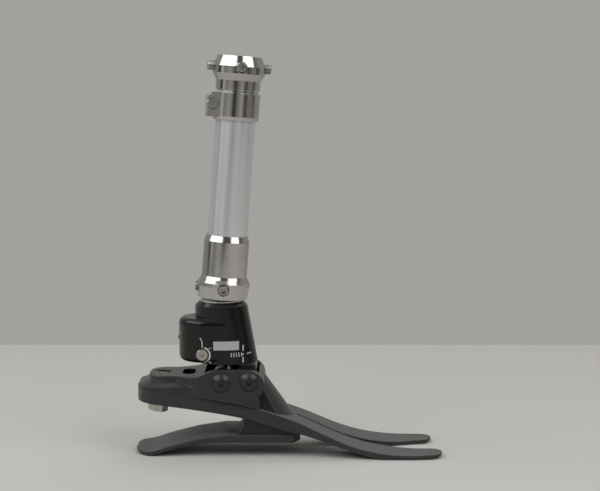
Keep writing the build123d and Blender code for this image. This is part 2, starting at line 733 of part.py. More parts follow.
def under_spring_points():
    """The region under the toe spring, which the carrier stays out of."""
    points = [(ANKLE_X + x, z - thick / 2) for x, z, thick in MIDFOOT]
    points += [(forefoot(0.3), 8), (forefoot(0.3), -20), (SPRING_X - 10, -20), (SPRING_X - 10, points[0][1])]
    return points


# ---- Pins ----
def pin():
    """A plain pin with a threaded hole in each end."""
    body = rod(PIN_RADIUS, -CHEEK_HALF_WIDTH, CHEEK_HALF_WIDTH)
    hole = rod(PIN_SCREW_RADIUS + FIXED, PIN_CORE, CHEEK_HALF_WIDTH)
    return body - hole - Rot(180, 0, 0) * hole


def ankle_pin():
    return across_foot(ANKLE_X, ANKLE_Z) * pin()


def piston_pin():
    return across_foot(PISTON_X, PISTON_Z) * pin()


def pin_screws(x, z):
    """The two domed screws in a pin's ends."""
    screw = Pos(0, 0, CHEEK_HALF_WIDTH) * button_screw(PIN_SCREW_RADIUS, CHEEK_HALF_WIDTH - PIN_CORE - 1)
    place = across_foot(x, z)
    return [place * screw, place * Rot(180, 0, 0) * screw]


def piston_pin_sleeves():
    """The two spacers that centre the rod's eye between the cheeks."""
    start = EYE_HALF_WIDTH + FREE
    sleeve = rod(SLEEVE_RADIUS, start, CAVITY_HALF_WIDTH - FIXED) - rod(PIN_RADIUS + FIXED, 0, 60)
    place = across_foot(PISTON_X, PISTON_Z)
    return [place * sleeve, place * Rot(180, 0, 0) * sleeve]


# ---- Ankle body ----
def body_bottom_ellipse(inset):
    """The elliptical plan of the ankle body at its lower edge."""
    front = ANKLE_X + BODY_FRONT
    rear = NECK_X - NECK_RADIUS
    return Pos((front + rear) / 2, 0) * Ellipse((front - rear) / 2 - inset, BODY_HALF_WIDTH - inset)


def body_column():
    bottom = Pos(0, 0, BODY_BOTTOM_Z) * body_bottom_ellipse(0)
    neck = Pos(NECK_X, 0, BODY_NECK_Z) * Ellipse(NECK_RADIUS, NECK_RADIUS - 0.01)
    column = loft([bottom, neck])
    crown = Pos(NECK_X, 0, 0) * turned(
        [
            (0, BODY_NECK_Z - 1),
            (NECK_RADIUS - 0.4, BODY_NECK_Z - 1),
            (NECK_RADIUS - 0.4, BODY_NECK_Z),
            (CROWN_RADIUS, BODY_TOP_Z),
            (0, BODY_TOP_Z),
        ]
    )
    return column + crown


def body_lobe():
    """The rounded rear part that holds the valves."""
    length = PISTON_X - LOBE_X + 2 * BODY_HALF_WIDTH
    plan = Pos((PISTON_X + LOBE_X) / 2, 0) * SlotOverall(length, 2 * BODY_HALF_WIDTH)
    lobe = extrude(Pos(0, 0, LOBE_BOTTOM_Z) * plan, LOBE_TOP_Z - LOBE_BOTTOM_Z)
    rims = lobe.edges().group_by(Axis.Z)
    return fillet(rims[0] + rims[-1], LOBE_ROUND)


def body_lug():
    """The lug that reaches down between the cheeks to the ankle pin."""
    top = LUG_TOP_Z
    outline = Pos(ANKLE_X, ANKLE_Z) * Circle(LUG_RADIUS)
    front_top = ANKLE_X + BODY_FRONT - LUG_NECK_INSET
    outline += make_face(
        Polyline(
            (ANKLE_X - LUG_RADIUS, ANKLE_Z),
            (ANKLE_X + LUG_RADIUS, ANKLE_Z),
            (front_top, top),
            (ANKLE_X - LUG_RADIUS, top),
            close=True,
        )
    )
    lug = extrude(Plane.XZ * outline, LUG_HALF_WIDTH, both=True)
    neck = extrude(Pos(0, 0, top - 1) * body_bottom_ellipse(LUG_NECK_INSET), BODY_BOTTOM_Z - top + 2)
    rear = ANKLE_X - LUG_RADIUS
    neck &= block((rear, -60, top - 5), (rear + 60, 60, BODY_BOTTOM_Z + 5))
    return lug + neck


def valve_place(side):
    """A valve's place: its local Z axis points out of the body's side."""
    return Pos(PISTON_X - VALVE_X, side * BODY_HALF_WIDTH, VALVE_Z) * Rot(-90 * side, 0, 0)


def fill_plug_place():
    """The fill plug's place at the back of the lobe, with its Z axis pointing out."""
    return Pos(LOBE_X - BODY_HALF_WIDTH, 0, FILL_PLUG_Z) * Rot(0, -90, 0)


def cylinder_cuts():
    """The cylinder bore with the gland's seat below it."""
    bore = rod(CYLINDER_RADIUS + RUNNING, GLAND_TOP_Z - 1, CYLINDER_TOP_Z)
    bore += rod(GLAND_RADIUS + FIXED, BODY_BOTTOM_Z - 5, GLAND_TOP_Z + FIXED)
    return Pos(PISTON_X, 0, 0) * bore


def gallery_cuts():
    """The oil gallery in the lobe, its two ports to the cylinder and its links to the valves."""
    x = PISTON_X - GALLERY_X
    gallery = rod(PORT_RADIUS, LOBE_BOTTOM_Z - 1, PORT_TOP_Z + PORT_RADIUS)
    gallery += rod(GALLERY_PLUG_RADIUS + FIXED, LOBE_BOTTOM_Z - 1, LOBE_BOTTOM_Z + GALLERY_PLUG_LENGTH)
    cuts = Pos(x, 0, 0) * gallery
    for z in (GLAND_TOP_Z + 2 * PORT_RADIUS, PORT_TOP_Z):
        cuts += Pos(x, 0, z) * Rot(0, 90, 0) * rod(PORT_RADIUS, 0, GALLERY_X - CYLINDER_RADIUS + 2)
    link = Pos(PISTON_X - VALVE_X, 0, VALVE_Z) * Rot(90, 0, 0) * rod(PORT_RADIUS, -10, 10)
    return cuts + link


def ankle_body():
    body = body_column() + body_lobe() + body_lug()
    body -= cylinder_cuts()
    body -= gallery_cuts()
    for side in (-1, 1):
        pocket = rod(VALVE_RADIUS + RUNNING, -VALVE_DEPTH, 5)
        pocket += rod(VALVE_STEM_RADIUS + RUNNING, -VALVE_DEPTH - VALVE_STEM_LENGTH - FREE, 0)
        body -= valve_place(side) * pocket
    body -= fill_plug_place() * rod(FILL_PLUG_RADIUS + FIXED, -FILL_PLUG_LENGTH, 5)
    body -= across_foot(ANKLE_X, ANKLE_Z) * rod(PIN_RADIUS + BUSH_WALL + FIXED, -60, 60)
    seat = rod(PYRAMID_SPIGOT_RADIUS + FIXED, BODY_TOP_Z - PYRAMID_SPIGOT_DEPTH, BODY_TOP_Z + 5)
    seat += rod(PYRAMID_SCREW_RADIUS + FIXED, BODY_TOP_Z - PYRAMID_SCREW_REACH, BODY_TOP_Z + 5)
    body -= Pos(NECK_X, 0, 0) * seat
    return body.solids().sort_by(SortBy.VOLUME)[-1]


def ankle_bushes():
    """The flanged dry bushes in the lug, which also space it from the cheeks."""
    place = across_foot(ANKLE_X, ANKLE_Z)
    flange_end = CAVITY_HALF_WIDTH - FREE
    bush = rod(PIN_RADIUS + BUSH_WALL, LUG_HALF_WIDTH - 13, LUG_HALF_WIDTH)
    bush += rod(THRUST_WASHER_RADIUS, LUG_HALF_WIDTH, flange_end)
    bush -= rod(PIN_RADIUS + RUNNING, 0, 60)
    return [place * bush, place * Rot(180, 0, 0) * bush]


# ---- Hydraulic cylinder ----
def cylinder_gland():
    """The screwed ring that closes the cylinder and guides the rod."""
    gland = rod(GLAND_RADIUS, BODY_BOTTOM_Z, GLAND_TOP_Z)
    gland += rod(GLAND_RADIUS, BODY_BOTTOM_Z - GLAND_FLANGE, BODY_BOTTOM_Z)
    gland -= rod(ROD_RADIUS + RUNNING, 0, 200)
    gland -= rod(ROD_RADIUS + SEAL_DEPTH, ROD_SEAL_Z, ROD_SEAL_Z + SEAL_WIDTH)
    return Pos(PISTON_X, 0, 0) * gland


def rod_seal():
    ring = rod(ROD_RADIUS + SEAL_DEPTH - FIXED, ROD_SEAL_Z + FIXED, ROD_SEAL_Z + SEAL_WIDTH - FIXED)
    ring -= rod(ROD_RADIUS + RUNNING, 0, 200)
    return Pos(PISTON_X, 0, 0) * ring


def piston_rod():
    """The rod from its eye on the piston pin up to the piston's nut."""
    shaft = Pos(PISTON_X, 0, 0) * rod(ROD_RADIUS, PISTON_Z, ROD_TOP_Z)
    eye = across_foot(PISTON_X, PISTON_Z) * rod(EYE_RADIUS, -EYE_HALF_WIDTH, EYE_HALF_WIDTH)
    return shaft + eye - across_foot(PISTON_X, PISTON_Z) * rod(PIN_RADIUS + EYE_CLEARANCE, -60, 60)


def piston():
    top = PISTON_BOTTOM_Z + PISTON_HEIGHT
    body = rod(CYLINDER_RADIUS, PISTON_BOTTOM_Z, top) - rod(ROD_RADIUS + FIXED, 0, 200)
    groove = (PISTON_BOTTOM_Z + top) / 2
    ring = rod(60, groove - SEAL_WIDTH / 2, groove + SEAL_WIDTH / 2)
    ring -= rod(CYLINDER_RADIUS - SEAL_DEPTH, 0, 200)
    return Pos(PISTON_X, 0, 0) * (body - ring)


def piston_seal():
    groove = PISTON_BOTTOM_Z + PISTON_HEIGHT / 2
    half = SEAL_WIDTH / 2 - FIXED
    ring = rod(CYLINDER_RADIUS, groove - half, groove + half)
    return Pos(PISTON_X, 0, 0) * (ring - rod(CYLINDER_RADIUS - SEAL_DEPTH + FIXED, 0, 200))


def piston_nut():
    bottom = PISTON_BOTTOM_Z + PISTON_HEIGHT
    nut = hexagon(ROD_NUT_ACROSS, bottom, bottom + ROD_NUT_HEIGHT) - rod(ROD_RADIUS + FIXED, 0, 200)
    return Pos(PISTON_X, 0, 0) * nut


# ---- Valves and plugs ----
def valve(side):
    """An adjusting screw that turns in its pocket, with a small hexagon socket."""
    head = rod(VALVE_RADIUS, -VALVE_DEPTH + RUNNING, -0.3)
    head = chamfer(head.edges().group_by(Axis.Z)[-1], 0.4)
    stem = rod(VALVE_STEM_RADIUS, -VALVE_DEPTH - VALVE_STEM_LENGTH, -VALVE_DEPTH + 0.5)
    stem = chamfer(stem.edges().group_by(Axis.Z)[0], 1.2)
    groove = rod(60, -VALVE_DEPTH / 2 - 0.9, -VALVE_DEPTH / 2 + 0.9) - rod(VALVE_RADIUS - 1.2, -60, 60)
    return valve_place(side) * (head + stem - groove - hexagon(VALVE_HEX, -2.2, 5))


def valve_ring(side):
    """The sealing ring in a valve's groove."""
    half = 0.9 - FIXED
    ring = rod(VALVE_RADIUS, -VALVE_DEPTH / 2 - half, -VALVE_DEPTH / 2 + half)
    return valve_place(side) * (ring - rod(VALVE_RADIUS - 1.2 + FIXED, -60, 60))


def fill_plug():
    plug = rod(FILL_PLUG_RADIUS, -FILL_PLUG_LENGTH + FIXED, 0.6)
    return fill_plug_place() * (plug - hexagon(VALVE_HEX, -1.8, 5))


def gallery_plug():
    plug = rod(GALLERY_PLUG_RADIUS, LOBE_BOTTOM_Z, LOBE_BOTTOM_Z + GALLERY_PLUG_LENGTH - FIXED)
    return Pos(PISTON_X - GALLERY_X, 0, 0) * (plug - hexagon(2, LOBE_BOTTOM_Z - 1, LOBE_BOTTOM_Z + 1.5))


# ---- Pyramid ----
def pyramid_frustum():
    low = Pos(0, 0, PYRAMID_BASE_Z) * Rectangle(2 * PYRAMID_BASE_HALF, 2 * PYRAMID_BASE_HALF)
    high = Pos(0, 0, PYRAMID_TOP_Z) * Rectangle(2 * PYRAMID_TOP_HALF, 2 * PYRAMID_TOP_HALF)
    return loft([low, high]) & rod(PYRAMID_CORNER_RADIUS, 0, 300)


def male_pyramid():
    """The dome and the square pyramid that the pylon's lower adapter clamps."""
    dome = Pos(0, 0, DOME_CENTRE_Z) * Sphere(DOME_RADIUS)
    dome &= rod(DOME_FLANGE_RADIUS, BODY_TOP_Z, PYRAMID_BASE_Z)
    spigot = rod(PYRAMID_SPIGOT_RADIUS, BODY_TOP_Z - PYRAMID_SPIGOT_DEPTH, BODY_TOP_Z)
    body = dome + spigot + pyramid_frustum()
    body -= rod(PYRAMID_SCREW_RADIUS + FIXED, 0, 300)
    body -= rod(PYRAMID_SCREW_HEAD_RADIUS + FIXED, PYRAMID_TOP_Z - PYRAMID_SCREW_HEAD - 1, 300)
    return Pos(NECK_X, 0, 0) * body


def pyramid_screw():
    seat = PYRAMID_TOP_Z - PYRAMID_SCREW_HEAD - 1
    length = seat - (BODY_TOP_Z - PYRAMID_SCREW_REACH) - FIXED
    screw = socket_screw(PYRAMID_SCREW_RADIUS, length, PYRAMID_SCREW_HEAD_RADIUS, PYRAMID_SCREW_HEAD, 5)
    return Pos(NECK_X, 0, seat) * screw


# ---- Pylon ----
def tube_adapter():
    """The lower adapter: a pyramid receiver below and a socket for the tube above."""
    outline = [
        (0, 0),
        (ADAPTER_LIP_RADIUS, 0),
        (ADAPTER_HEAD_RADIUS, ADAPTER_HEAD_START),
        (ADAPTER_HEAD_RADIUS, ADAPTER_HEAD_END),
        (ADAPTER_BARREL_RADIUS + 0.9, ADAPTER_HEAD_END + 2.6),
        (ADAPTER_BARREL_RADIUS, ADAPTER_NECK_START),
        (ADAPTER_BARREL_RADIUS, ADAPTER_BARREL_END),
        (TUBE_RADIUS + 0.5, ADAPTER_LENGTH),
        (0, ADAPTER_LENGTH),
    ]
    body = turned(outline)
    body -= Pos(0, 0, -ADAPTER_START) * Sphere(DOME_RADIUS + SEAT_GAP)
    body -= rod(CHAMBER_RADIUS, 0, ADAPTER_SOCKET_FLOOR - ADAPTER_WEB)
    body -= rod(ADAPTER_WEB_HOLE, 0, 99)
    body -= rod(TUBE_RADIUS + FIXED, ADAPTER_SOCKET_FLOOR, 99)
    for place in quarter_turns(Pos(0, 0, LOWER_SCREW_HEIGHT)):
        body -= place * rod(SET_SCREW_RADIUS, CHAMBER_RADIUS - 4, 60)
        body -= place * screw_chamfer(ADAPTER_HEAD_RADIUS - 0.4)
    return ADAPTER_AXIS * body


def screw_chamfer(radius):
    """The countersink of a set screw's hole in a face at a radius."""
    low, high = radius - 0.8, radius + 1.2
    return turned([(0, low), (SET_SCREW_RADIUS, low), (SET_SCREW_RADIUS + high - low, high), (0, high)])


def pyramid_half(z):
    """The pyramid's half width at a height."""
    share = (z - PYRAMID_BASE_Z) / (PYRAMID_TOP_Z - PYRAMID_BASE_Z)
    return PYRAMID_BASE_HALF + share * (PYRAMID_TOP_HALF - PYRAMID_BASE_HALF)


def tube_adapter_screws():
    """Four set screws that bear on the pyramid, so the one behind the leaning tube stands out."""
    height = LOWER_SCREW_HEIGHT + ADAPTER_START
    shift = height * tan(radians(TUBE_LEAN))
    taper = (PYRAMID_TOP_HALF - PYRAMID_BASE_HALF) / (PYRAMID_TOP_Z - PYRAMID_BASE_Z)
    lean = SET_SCREW_RADIUS * (taper + sin(radians(TUBE_LEAN)) + sin(radians(ADAPTER_TURN)))
    seat = pyramid_half(DOME_CENTRE_Z + height) + lean - SET_SCREW_POINT * 0.4 + LOWER_SCREW_GAP
    reaches = (seat - shift, seat, seat + shift, seat)
    screws = []
    for place, reach in zip(quarter_turns(Pos(0, 0, LOWER_SCREW_HEIGHT)), reaches):
        screws.append(ADAPTER_AXIS * place * Pos(0, 0, reach) * set_screw(LOWER_SCREW_LENGTH))
    return screws


def pylon_tube():
    tube = rod(TUBE_RADIUS, TUBE_START, TUBE_END) - rod(TUBE_RADIUS - TUBE_WALL, 0, 999)
    return TUBE_AXIS * tube


# ---- Upper clamp ----
def clamp_lug():
    """The lug behind the clamp band that takes the clamp bolt."""
    rear = -(TUBE_RADIUS + CLAMP_LUG_REACH)
    points = [
        (-CLAMP_THROAT_RADIUS, CLAMP_LUG_START),
        (rear, CLAMP_LUG_START),
        (rear, CLAMP_LUG_END - CLAMP_LUG_SLOPE),
        (rear + CLAMP_LUG_SLOPE, CLAMP_LUG_END),
        (-CLAMP_THROAT_RADIUS, CLAMP_LUG_END),
    ]
    return slab(Polyline(*points, close=True), CLAMP_LUG_HALF)


def clamp_bolt_place():
    """The clamp bolt's seat: its local Z axis points out of the near side."""
    return Pos(-CLAMP_BOLT_X, CLAMP_BOLT_HEAD - CLAMP_LUG_HALF, CLAMP_BOLT_HEIGHT) * Rot(90, 0, 0)


def clamp_adapter():
    """The upper adapter: a slit clamp for the tube below and a pyramid receiver above."""
    groove = CLAMP_BAND_END + CLAMP_GROOVE
    outline = [
        (0, 0),
        (CLAMP_LIP_RADIUS, 0),
        (CLAMP_BAND_RADIUS, CLAMP_LIP),
        (CLAMP_BAND_RADIUS, CLAMP_BAND_END),
        (CLAMP_NECK_RADIUS - CLAMP_GROOVE_DEPTH, CLAMP_BAND_END),
        (CLAMP_NECK_RADIUS - CLAMP_GROOVE_DEPTH, groove),
        (CLAMP_NECK_RADIUS, groove),
        (CLAMP_NECK_RADIUS, CLAMP_NECK_END),
        (CLAMP_HEAD_RADIUS, CLAMP_HEAD_START),
        (CLAMP_HEAD_RADIUS, CLAMP_HEAD_END),
        (CLAMP_TOP_RADIUS, CLAMP_LENGTH),
        (0, CLAMP_LENGTH),
    ]
    body = turned(outline) + clamp_lug()
    body -= rod(TUBE_RADIUS + RUNNING, -5, CLAMP_GRIP + FREE)
    body -= rod(CLAMP_THROAT_RADIUS, 0, 99)
    body -= rod(CLAMP_MOUTH_RADIUS, CLAMP_CHAMBER_START, 99)
    body -= block((-60, -CLAMP_SLIT / 2, -5), (0, CLAMP_SLIT / 2, groove))
    body -= block((-60, -60, CLAMP_BAND_END), (-CLAMP_THROAT_RADIUS / 2, 60, CLAMP_BAND_END + CLAMP_SLIT))
    bolt = clamp_bolt_place()
    body -= bolt * rod(CLAMP_BOLT_HEAD_RADIUS + CLAMP_BOLT_ROOM, 0, 30)
    body -= bolt * rod(CLAMP_BOLT_RADIUS + FIXED, -2 * CLAMP_LUG_HALF, 5)
    for place in quarter_turns(Pos(0, 0, CLAMP_SCREW_HEIGHT)):
        body -= place * rod(SET_SCREW_RADIUS, CLAMP_MOUTH_RADIUS - 4, 60)
        body -= place * screw_chamfer(CLAMP_HEAD_RADIUS - 0.1)
    return CLAMP_AXIS * body.solids().sort_by(SortBy.VOLUME)[-1]


def clamp_bolt():
    length = 2 * CLAMP_LUG_HALF - CLAMP_BOLT_HEAD - 1
    screw = socket_screw(CLAMP_BOLT_RADIUS, length, CLAMP_BOLT_HEAD_RADIUS, CLAMP_BOLT_HEAD, CLAMP_BOLT_HEX)
    return CLAMP_AXIS * clamp_bolt_place() * screw


def clamp_screws():
    """Four set screws backed off to different depths, clear of the open receiver."""
    out = CLAMP_HEAD_RADIUS - CLAMP_SCREW_LENGTH
    inner = CLAMP_MOUTH_RADIUS + 0.2
    starts = (out + CLAMP_SCREW_OUT, inner, out + CLAMP_SCREW_OUT, inner)
    lengths = (CLAMP_SCREW_LENGTH, CLAMP_HEAD_RADIUS - inner + 0.6) * 2
    screws = []
    for place, start, length in zip(quarter_turns(Pos(0, 0, CLAMP_SCREW_HEIGHT)), starts, lengths):
        screws.append(CLAMP_AXIS * place * Pos(0, 0, start) * set_screw(length))
    return screws


# ---- Every sub-part under its own name ----
PARTS = {
    "toe_spring": toe_spring(),
    "heel_spring": heel_spring(),
    "heel_wedge": heel_wedge(),
    "carrier": carrier(),
    "heel_bolt": heel_bolt(),
    "heel_bolt_washer": heel_bolt_washer(),
    "heel_bolt_insert": heel_bolt_insert(),
    "heel_spring_bolts": heel_spring_bolts(),
    "heel_spring_washers": heel_spring_washers(),
    "ankle_pin": ankle_pin(),
    "ankle_pin_screws": pin_screws(ANKLE_X, ANKLE_Z),
    "piston_pin": piston_pin(),
    "piston_pin_screws": pin_screws(PISTON_X, PISTON_Z),
    "piston_pin_sleeves": piston_pin_sleeves(),
    "ankle_body": ankle_body(),
    "ankle_bushes": ankle_bushes(),
    "cylinder_gland": cylinder_gland(),
    "rod_seal": rod_seal(),
    "piston_rod": piston_rod(),
    "piston": piston(),
    "piston_seal": piston_seal(),
    "piston_nut": piston_nut(),
    "plantarflexion_valve": valve(-1),
    "plantarflexion_valve_ring": valve_ring(-1),
    "dorsiflexion_valve": valve(1),
    "dorsiflexion_valve_ring": valve_ring(1),
    "fill_plug": fill_plug(),
    "gallery_plug": gallery_plug(),
    "male_pyramid": male_pyramid(),
    "pyramid_screw": pyramid_screw(),
    "tube_adapter": tube_adapter(),
    "tube_adapter_screws": tube_adapter_screws(),
    "pylon_tube": pylon_tube(),
    "clamp_adapter": clamp_adapter(),
    "clamp_bolt": clamp_bolt(),
    "clamp_screws": clamp_screws(),
}

os.makedirs("parts", exist_ok=True)
for name, shape in PARTS.items():
    whole = Compound(children=list(shape)) if isinstance(shape, list) else shape
    export_step(whole, f"parts/{name}.step")
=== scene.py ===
# %% [markdown]
# # Dressing a hydraulic prosthetic ankle, foot and pylon
#
# The construction is already done: springs, pins, housings and bolts come from a CAD model at their
# real size. What is left for Blender is what the eye reads as "real": nickel that mirrors the studio,
# satin tube, black gloss housing, moulded carbon, screw threads and the small printed marks.
# Each step below says what the real thing is, how it could be made, and why one way was chosen.

# %% Load the frame
import json
from math import cos, pi, radians, sin, sqrt

import bmesh
import bpy
import numpy as np
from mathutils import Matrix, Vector
from mathutils.bvhtree import BVHTree


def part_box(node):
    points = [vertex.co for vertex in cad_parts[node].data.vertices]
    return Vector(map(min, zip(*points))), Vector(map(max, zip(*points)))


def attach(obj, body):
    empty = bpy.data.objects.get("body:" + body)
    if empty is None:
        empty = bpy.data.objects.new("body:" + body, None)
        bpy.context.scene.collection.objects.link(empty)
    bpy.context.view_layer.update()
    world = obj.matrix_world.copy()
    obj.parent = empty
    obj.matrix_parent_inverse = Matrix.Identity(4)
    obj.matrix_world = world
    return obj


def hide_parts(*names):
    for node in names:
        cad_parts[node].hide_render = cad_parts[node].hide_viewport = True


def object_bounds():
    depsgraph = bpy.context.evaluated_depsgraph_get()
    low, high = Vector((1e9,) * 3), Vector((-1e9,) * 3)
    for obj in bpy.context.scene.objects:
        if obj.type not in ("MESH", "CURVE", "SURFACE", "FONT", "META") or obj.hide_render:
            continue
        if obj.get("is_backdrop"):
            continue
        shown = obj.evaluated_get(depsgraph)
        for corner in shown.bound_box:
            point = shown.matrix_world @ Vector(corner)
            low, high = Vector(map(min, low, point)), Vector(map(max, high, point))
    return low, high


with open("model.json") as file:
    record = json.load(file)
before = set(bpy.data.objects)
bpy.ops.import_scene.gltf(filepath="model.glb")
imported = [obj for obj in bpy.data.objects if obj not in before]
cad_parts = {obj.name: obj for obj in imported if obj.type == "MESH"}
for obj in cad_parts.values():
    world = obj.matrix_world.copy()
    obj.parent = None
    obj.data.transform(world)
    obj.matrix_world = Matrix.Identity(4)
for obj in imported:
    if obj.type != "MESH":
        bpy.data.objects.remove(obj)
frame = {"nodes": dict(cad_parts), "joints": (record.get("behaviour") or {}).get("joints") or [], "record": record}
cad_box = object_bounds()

joints = {joint["name"]: joint for joint in frame["joints"]}
print(len(frame["nodes"]), "nodes; the model's box is", [round(v, 4) for v in cad_box[1] - cad_box[0]])

# %% [markdown]
# ## The camera
#
# A long lens keeps the upright tube upright. The camera stands about a metre in front, level with the
# clamp, and looks slightly down, so that the springs show their upper faces.

# %% Camera
CAMERA_DISTANCE = 1.059
CAMERA_HEIGHT = 0.271
CAMERA_SIDE = 0.0087
CAMERA_TILT = 6.21
CAMERA_LENS = 85.2
SENSOR_WIDTH = 36


def place_camera():
    data = bpy.data.cameras.new("camera")
    data.lens = CAMERA_LENS
    data.sensor_width = SENSOR_WIDTH
    camera = bpy.data.objects.new("camera", data)
    camera.location = (CAMERA_SIDE, -CAMERA_DISTANCE, CAMERA_HEIGHT)
    camera.rotation_euler = (radians(90 - CAMERA_TILT), 0, 0)
    bpy.context.scene.collection.objects.link(camera)
    bpy.context.scene.camera = camera
    return camera


camera = place_camera()
bpy.context.scene.view_settings.view_transform = "Standard"
print("camera at", [round(v, 3) for v in camera.location])

# %% [markdown]
# ## Small helpers for node trees
#
# Every material is a tree of nodes. Seven short helpers keep the trees readable: one feeds a socket
# with either a value or another socket, and the others add the arithmetic, the mixing, the noise and
# the place on the piece that most effects need.


# %% Node helpers
def put(tree, socket, source):
    """Feed a socket from another socket, or set its own value."""
    if isinstance(source, bpy.types.NodeSocket):
        tree.links.new(source, socket)
    else:
        socket.default_value = source


def calc(tree, operation, *values):
    made = tree.nodes.new("ShaderNodeMath")
    made.operation = operation
    for socket, value in zip(made.inputs, values):
        put(tree, socket, value)
    return made.outputs["Value"]


def vector_calc(tree, operation, *values):
    made = tree.nodes.new("ShaderNodeVectorMath")
    made.operation = operation
    for socket, value in zip(made.inputs, values):
        put(tree, socket, value)
    return made.outputs["Value" if operation == "DOT_PRODUCT" else "Vector"]


def span(tree, value, low, high, to_low=0.0, to_high=1.0):
    """Stretch one range of values over another, and stop at its ends."""
    made = tree.nodes.new("ShaderNodeMapRange")
    for socket, item in zip(made.inputs, (value, low, high, to_low, to_high)):
        put(tree, socket, item)
    return made.outputs["Result"]


def blend(tree, share, first, second):
    """Mix two colours."""
    made = tree.nodes.new("ShaderNodeMix")
    made.data_type = "RGBA"
    put(tree, made.inputs[0], share)
    put(tree, made.inputs[6], first)
    put(tree, made.inputs[7], second)
    return made.outputs[2]


def noise(tree, place, scale, detail=2.0):
    made = tree.nodes.new("ShaderNodeTexNoise")
    put(tree, made.inputs["Vector"], place)
    put(tree, made.inputs["Scale"], scale)
    made.inputs["Detail"].default_value = detail
    return made.outputs["Fac"]


def own_place(tree):
    """The place on the piece itself, in metres."""
    return tree.nodes.new("ShaderNodeTexCoord").outputs["Object"]


print("node helpers ready")

# %% [markdown]
# ## Floor, backdrop and light
#
# The object stands on a pale sheet that ends almost half a metre behind it, where a grey wall begins.
# The wall is the world's own colour, so nothing blocks the view from behind. Polished metal shows only
# what stands round it, so the studio matters as much as the nickel: two large soft boxes high on the
# left and the right, a weaker one behind, and between them a dimmer room with darker and lighter
# uprights.

# %% Floor
FLOOR_SIDE = 3.0
FLOOR_FRONT = 1.35
FLOOR_BACK = 0.446
FLOOR_COLOUR = (0.575, 0.57, 0.54, 1)
SPECKLE_SCALE = 400
SPECKLE_SHADE = 0.95


def link_new(name, mesh):
    made = bpy.data.objects.new(name, mesh)
    bpy.context.scene.collection.objects.link(made)
    return made


def floor_material():
    material = bpy.data.materials.new("pale floor")
    material.use_nodes = True
    tree = material.node_tree
    shader = tree.nodes["Principled BSDF"]
    speckle = noise(tree, own_place(tree), SPECKLE_SCALE)
    darker = [SPECKLE_SHADE * v for v in FLOOR_COLOUR[:3]] + [1]
    put(tree, shader.inputs["Base Color"], blend(tree, speckle, FLOOR_COLOUR, darker))
    shader.inputs["Roughness"].default_value = 0.8
    return material


def make_floor():
    mesh = bpy.data.meshes.new("floor")
    left, right = -FLOOR_SIDE, FLOOR_SIDE
    front, back = -FLOOR_FRONT, FLOOR_BACK
    corners = [(left, front, 0), (right, front, 0), (right, back, 0), (left, back, 0)]
    mesh.from_pydata(corners, [], [(0, 1, 2, 3)])
    mesh.materials.append(floor_material())
    floor = link_new("floor", mesh)
    floor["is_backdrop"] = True


make_floor()
print("floor ends", FLOOR_BACK, "m behind the foot's middle")

# %% World
WALL = (0.368, 0.358, 0.338, 1)
# Each upright is an angle in degrees from straight ahead, with how light the room is there.
ROOM_UPRIGHTS = [
    (-180, 0.34), (-104, 0.30), (-94, 0.05), (-84, 0.05), (-79, 0.60), (-70, 0.55), (-63, 0.24),
    (-35, 0.42), (-20, 0.22), (-14, 0.05), (-5, 0.05), (3, 0.20), (28, 0.46), (40, 0.10), (50, 0.07),
    (60, 0.25), (76, 0.30), (88, 0.08), (98, 0.10), (108, 0.34), (180, 0.34),
]
ROOM_TINT = (1, 0.98, 0.94)
ROOM_FRONT = (0.10, 0.10, 0.105, 1)
ROOM_TOP = (0.45, 0.45, 0.45, 1)
# Where one part of the room fades into the next, along Y for the front and along Z for the others.
FRONT_FADE = (-0.2, 0.3)
TOP_FADE = (0.75, 0.95)
HORIZON_FADE = (0.12, 0.3)


def upright_ramp(tree, turn):
    """The room's brightness round the horizon, from directly behind round to directly behind."""
    ramp = tree.nodes.new("ShaderNodeValToRGB")
    stops = ramp.color_ramp.elements
    while len(stops) > 1:
        stops.remove(stops[-1])
    for number, (angle, grey) in enumerate(ROOM_UPRIGHTS):
        place = (angle + 180) / 360
        stop = stops[0] if number == 0 else stops.new(place)
        stop.position = place
        stop.color = (*(grey * share for share in ROOM_TINT), 1)
    put(tree, ramp.inputs["Fac"], turn)
    return ramp.outputs["Color"]


def make_world():
    world = bpy.data.worlds.new("studio")
    world.use_nodes = True
    tree = world.node_tree
    tree.nodes.clear()
    direction = tree.nodes.new("ShaderNodeTexCoord").outputs["Generated"]
    split = tree.nodes.new("ShaderNodeSeparateXYZ")
    put(tree, split.inputs[0], direction)
    x, y, z = split.outputs
    turn = calc(tree, "ARCTAN2", x, calc(tree, "MULTIPLY", y, -1.0))
    turn = calc(tree, "MULTIPLY_ADD", turn, 1 / (2 * pi), 0.5)
    low = upright_ramp(tree, turn)
    high = blend(tree, span(tree, y, *FRONT_FADE), ROOM_FRONT, WALL)
    high = blend(tree, span(tree, z, *TOP_FADE), high, ROOM_TOP)
    room = blend(tree, span(tree, z, *HORIZON_FADE), low, high)
    seen = tree.nodes.new("ShaderNodeLightPath").outputs["Is Camera Ray"]
    background = tree.nodes.new("ShaderNodeBackground")
    put(tree, background.inputs["Color"], blend(tree, seen, room, WALL))
    output = tree.nodes.new("ShaderNodeOutputWorld")
    tree.links.new(background.outputs[0], output.inputs["Surface"])
    bpy.context.scene.world = world


make_world()
print("world with", len(ROOM_UPRIGHTS), "stops round the horizon")

# %% Soft boxes
BOX_DISTANCE = 1.6
BOX_AIM = Vector((0, 0, 0.15))
SOFT_BOXES = {
    "left": dict(turn=-60, rise=40, width=2.1, height=1.1, radiance=2.4, tint=(0.98, 0.99, 1.0)),
    "right": dict(turn=52, rise=40, width=1.2, height=1.1, radiance=2.4, tint=(1.0, 0.98, 0.97)),
    "back": dict(turn=150, rise=55, width=1.2, height=1.0, radiance=0.9, tint=(1.0, 1.0, 1.0)),
}


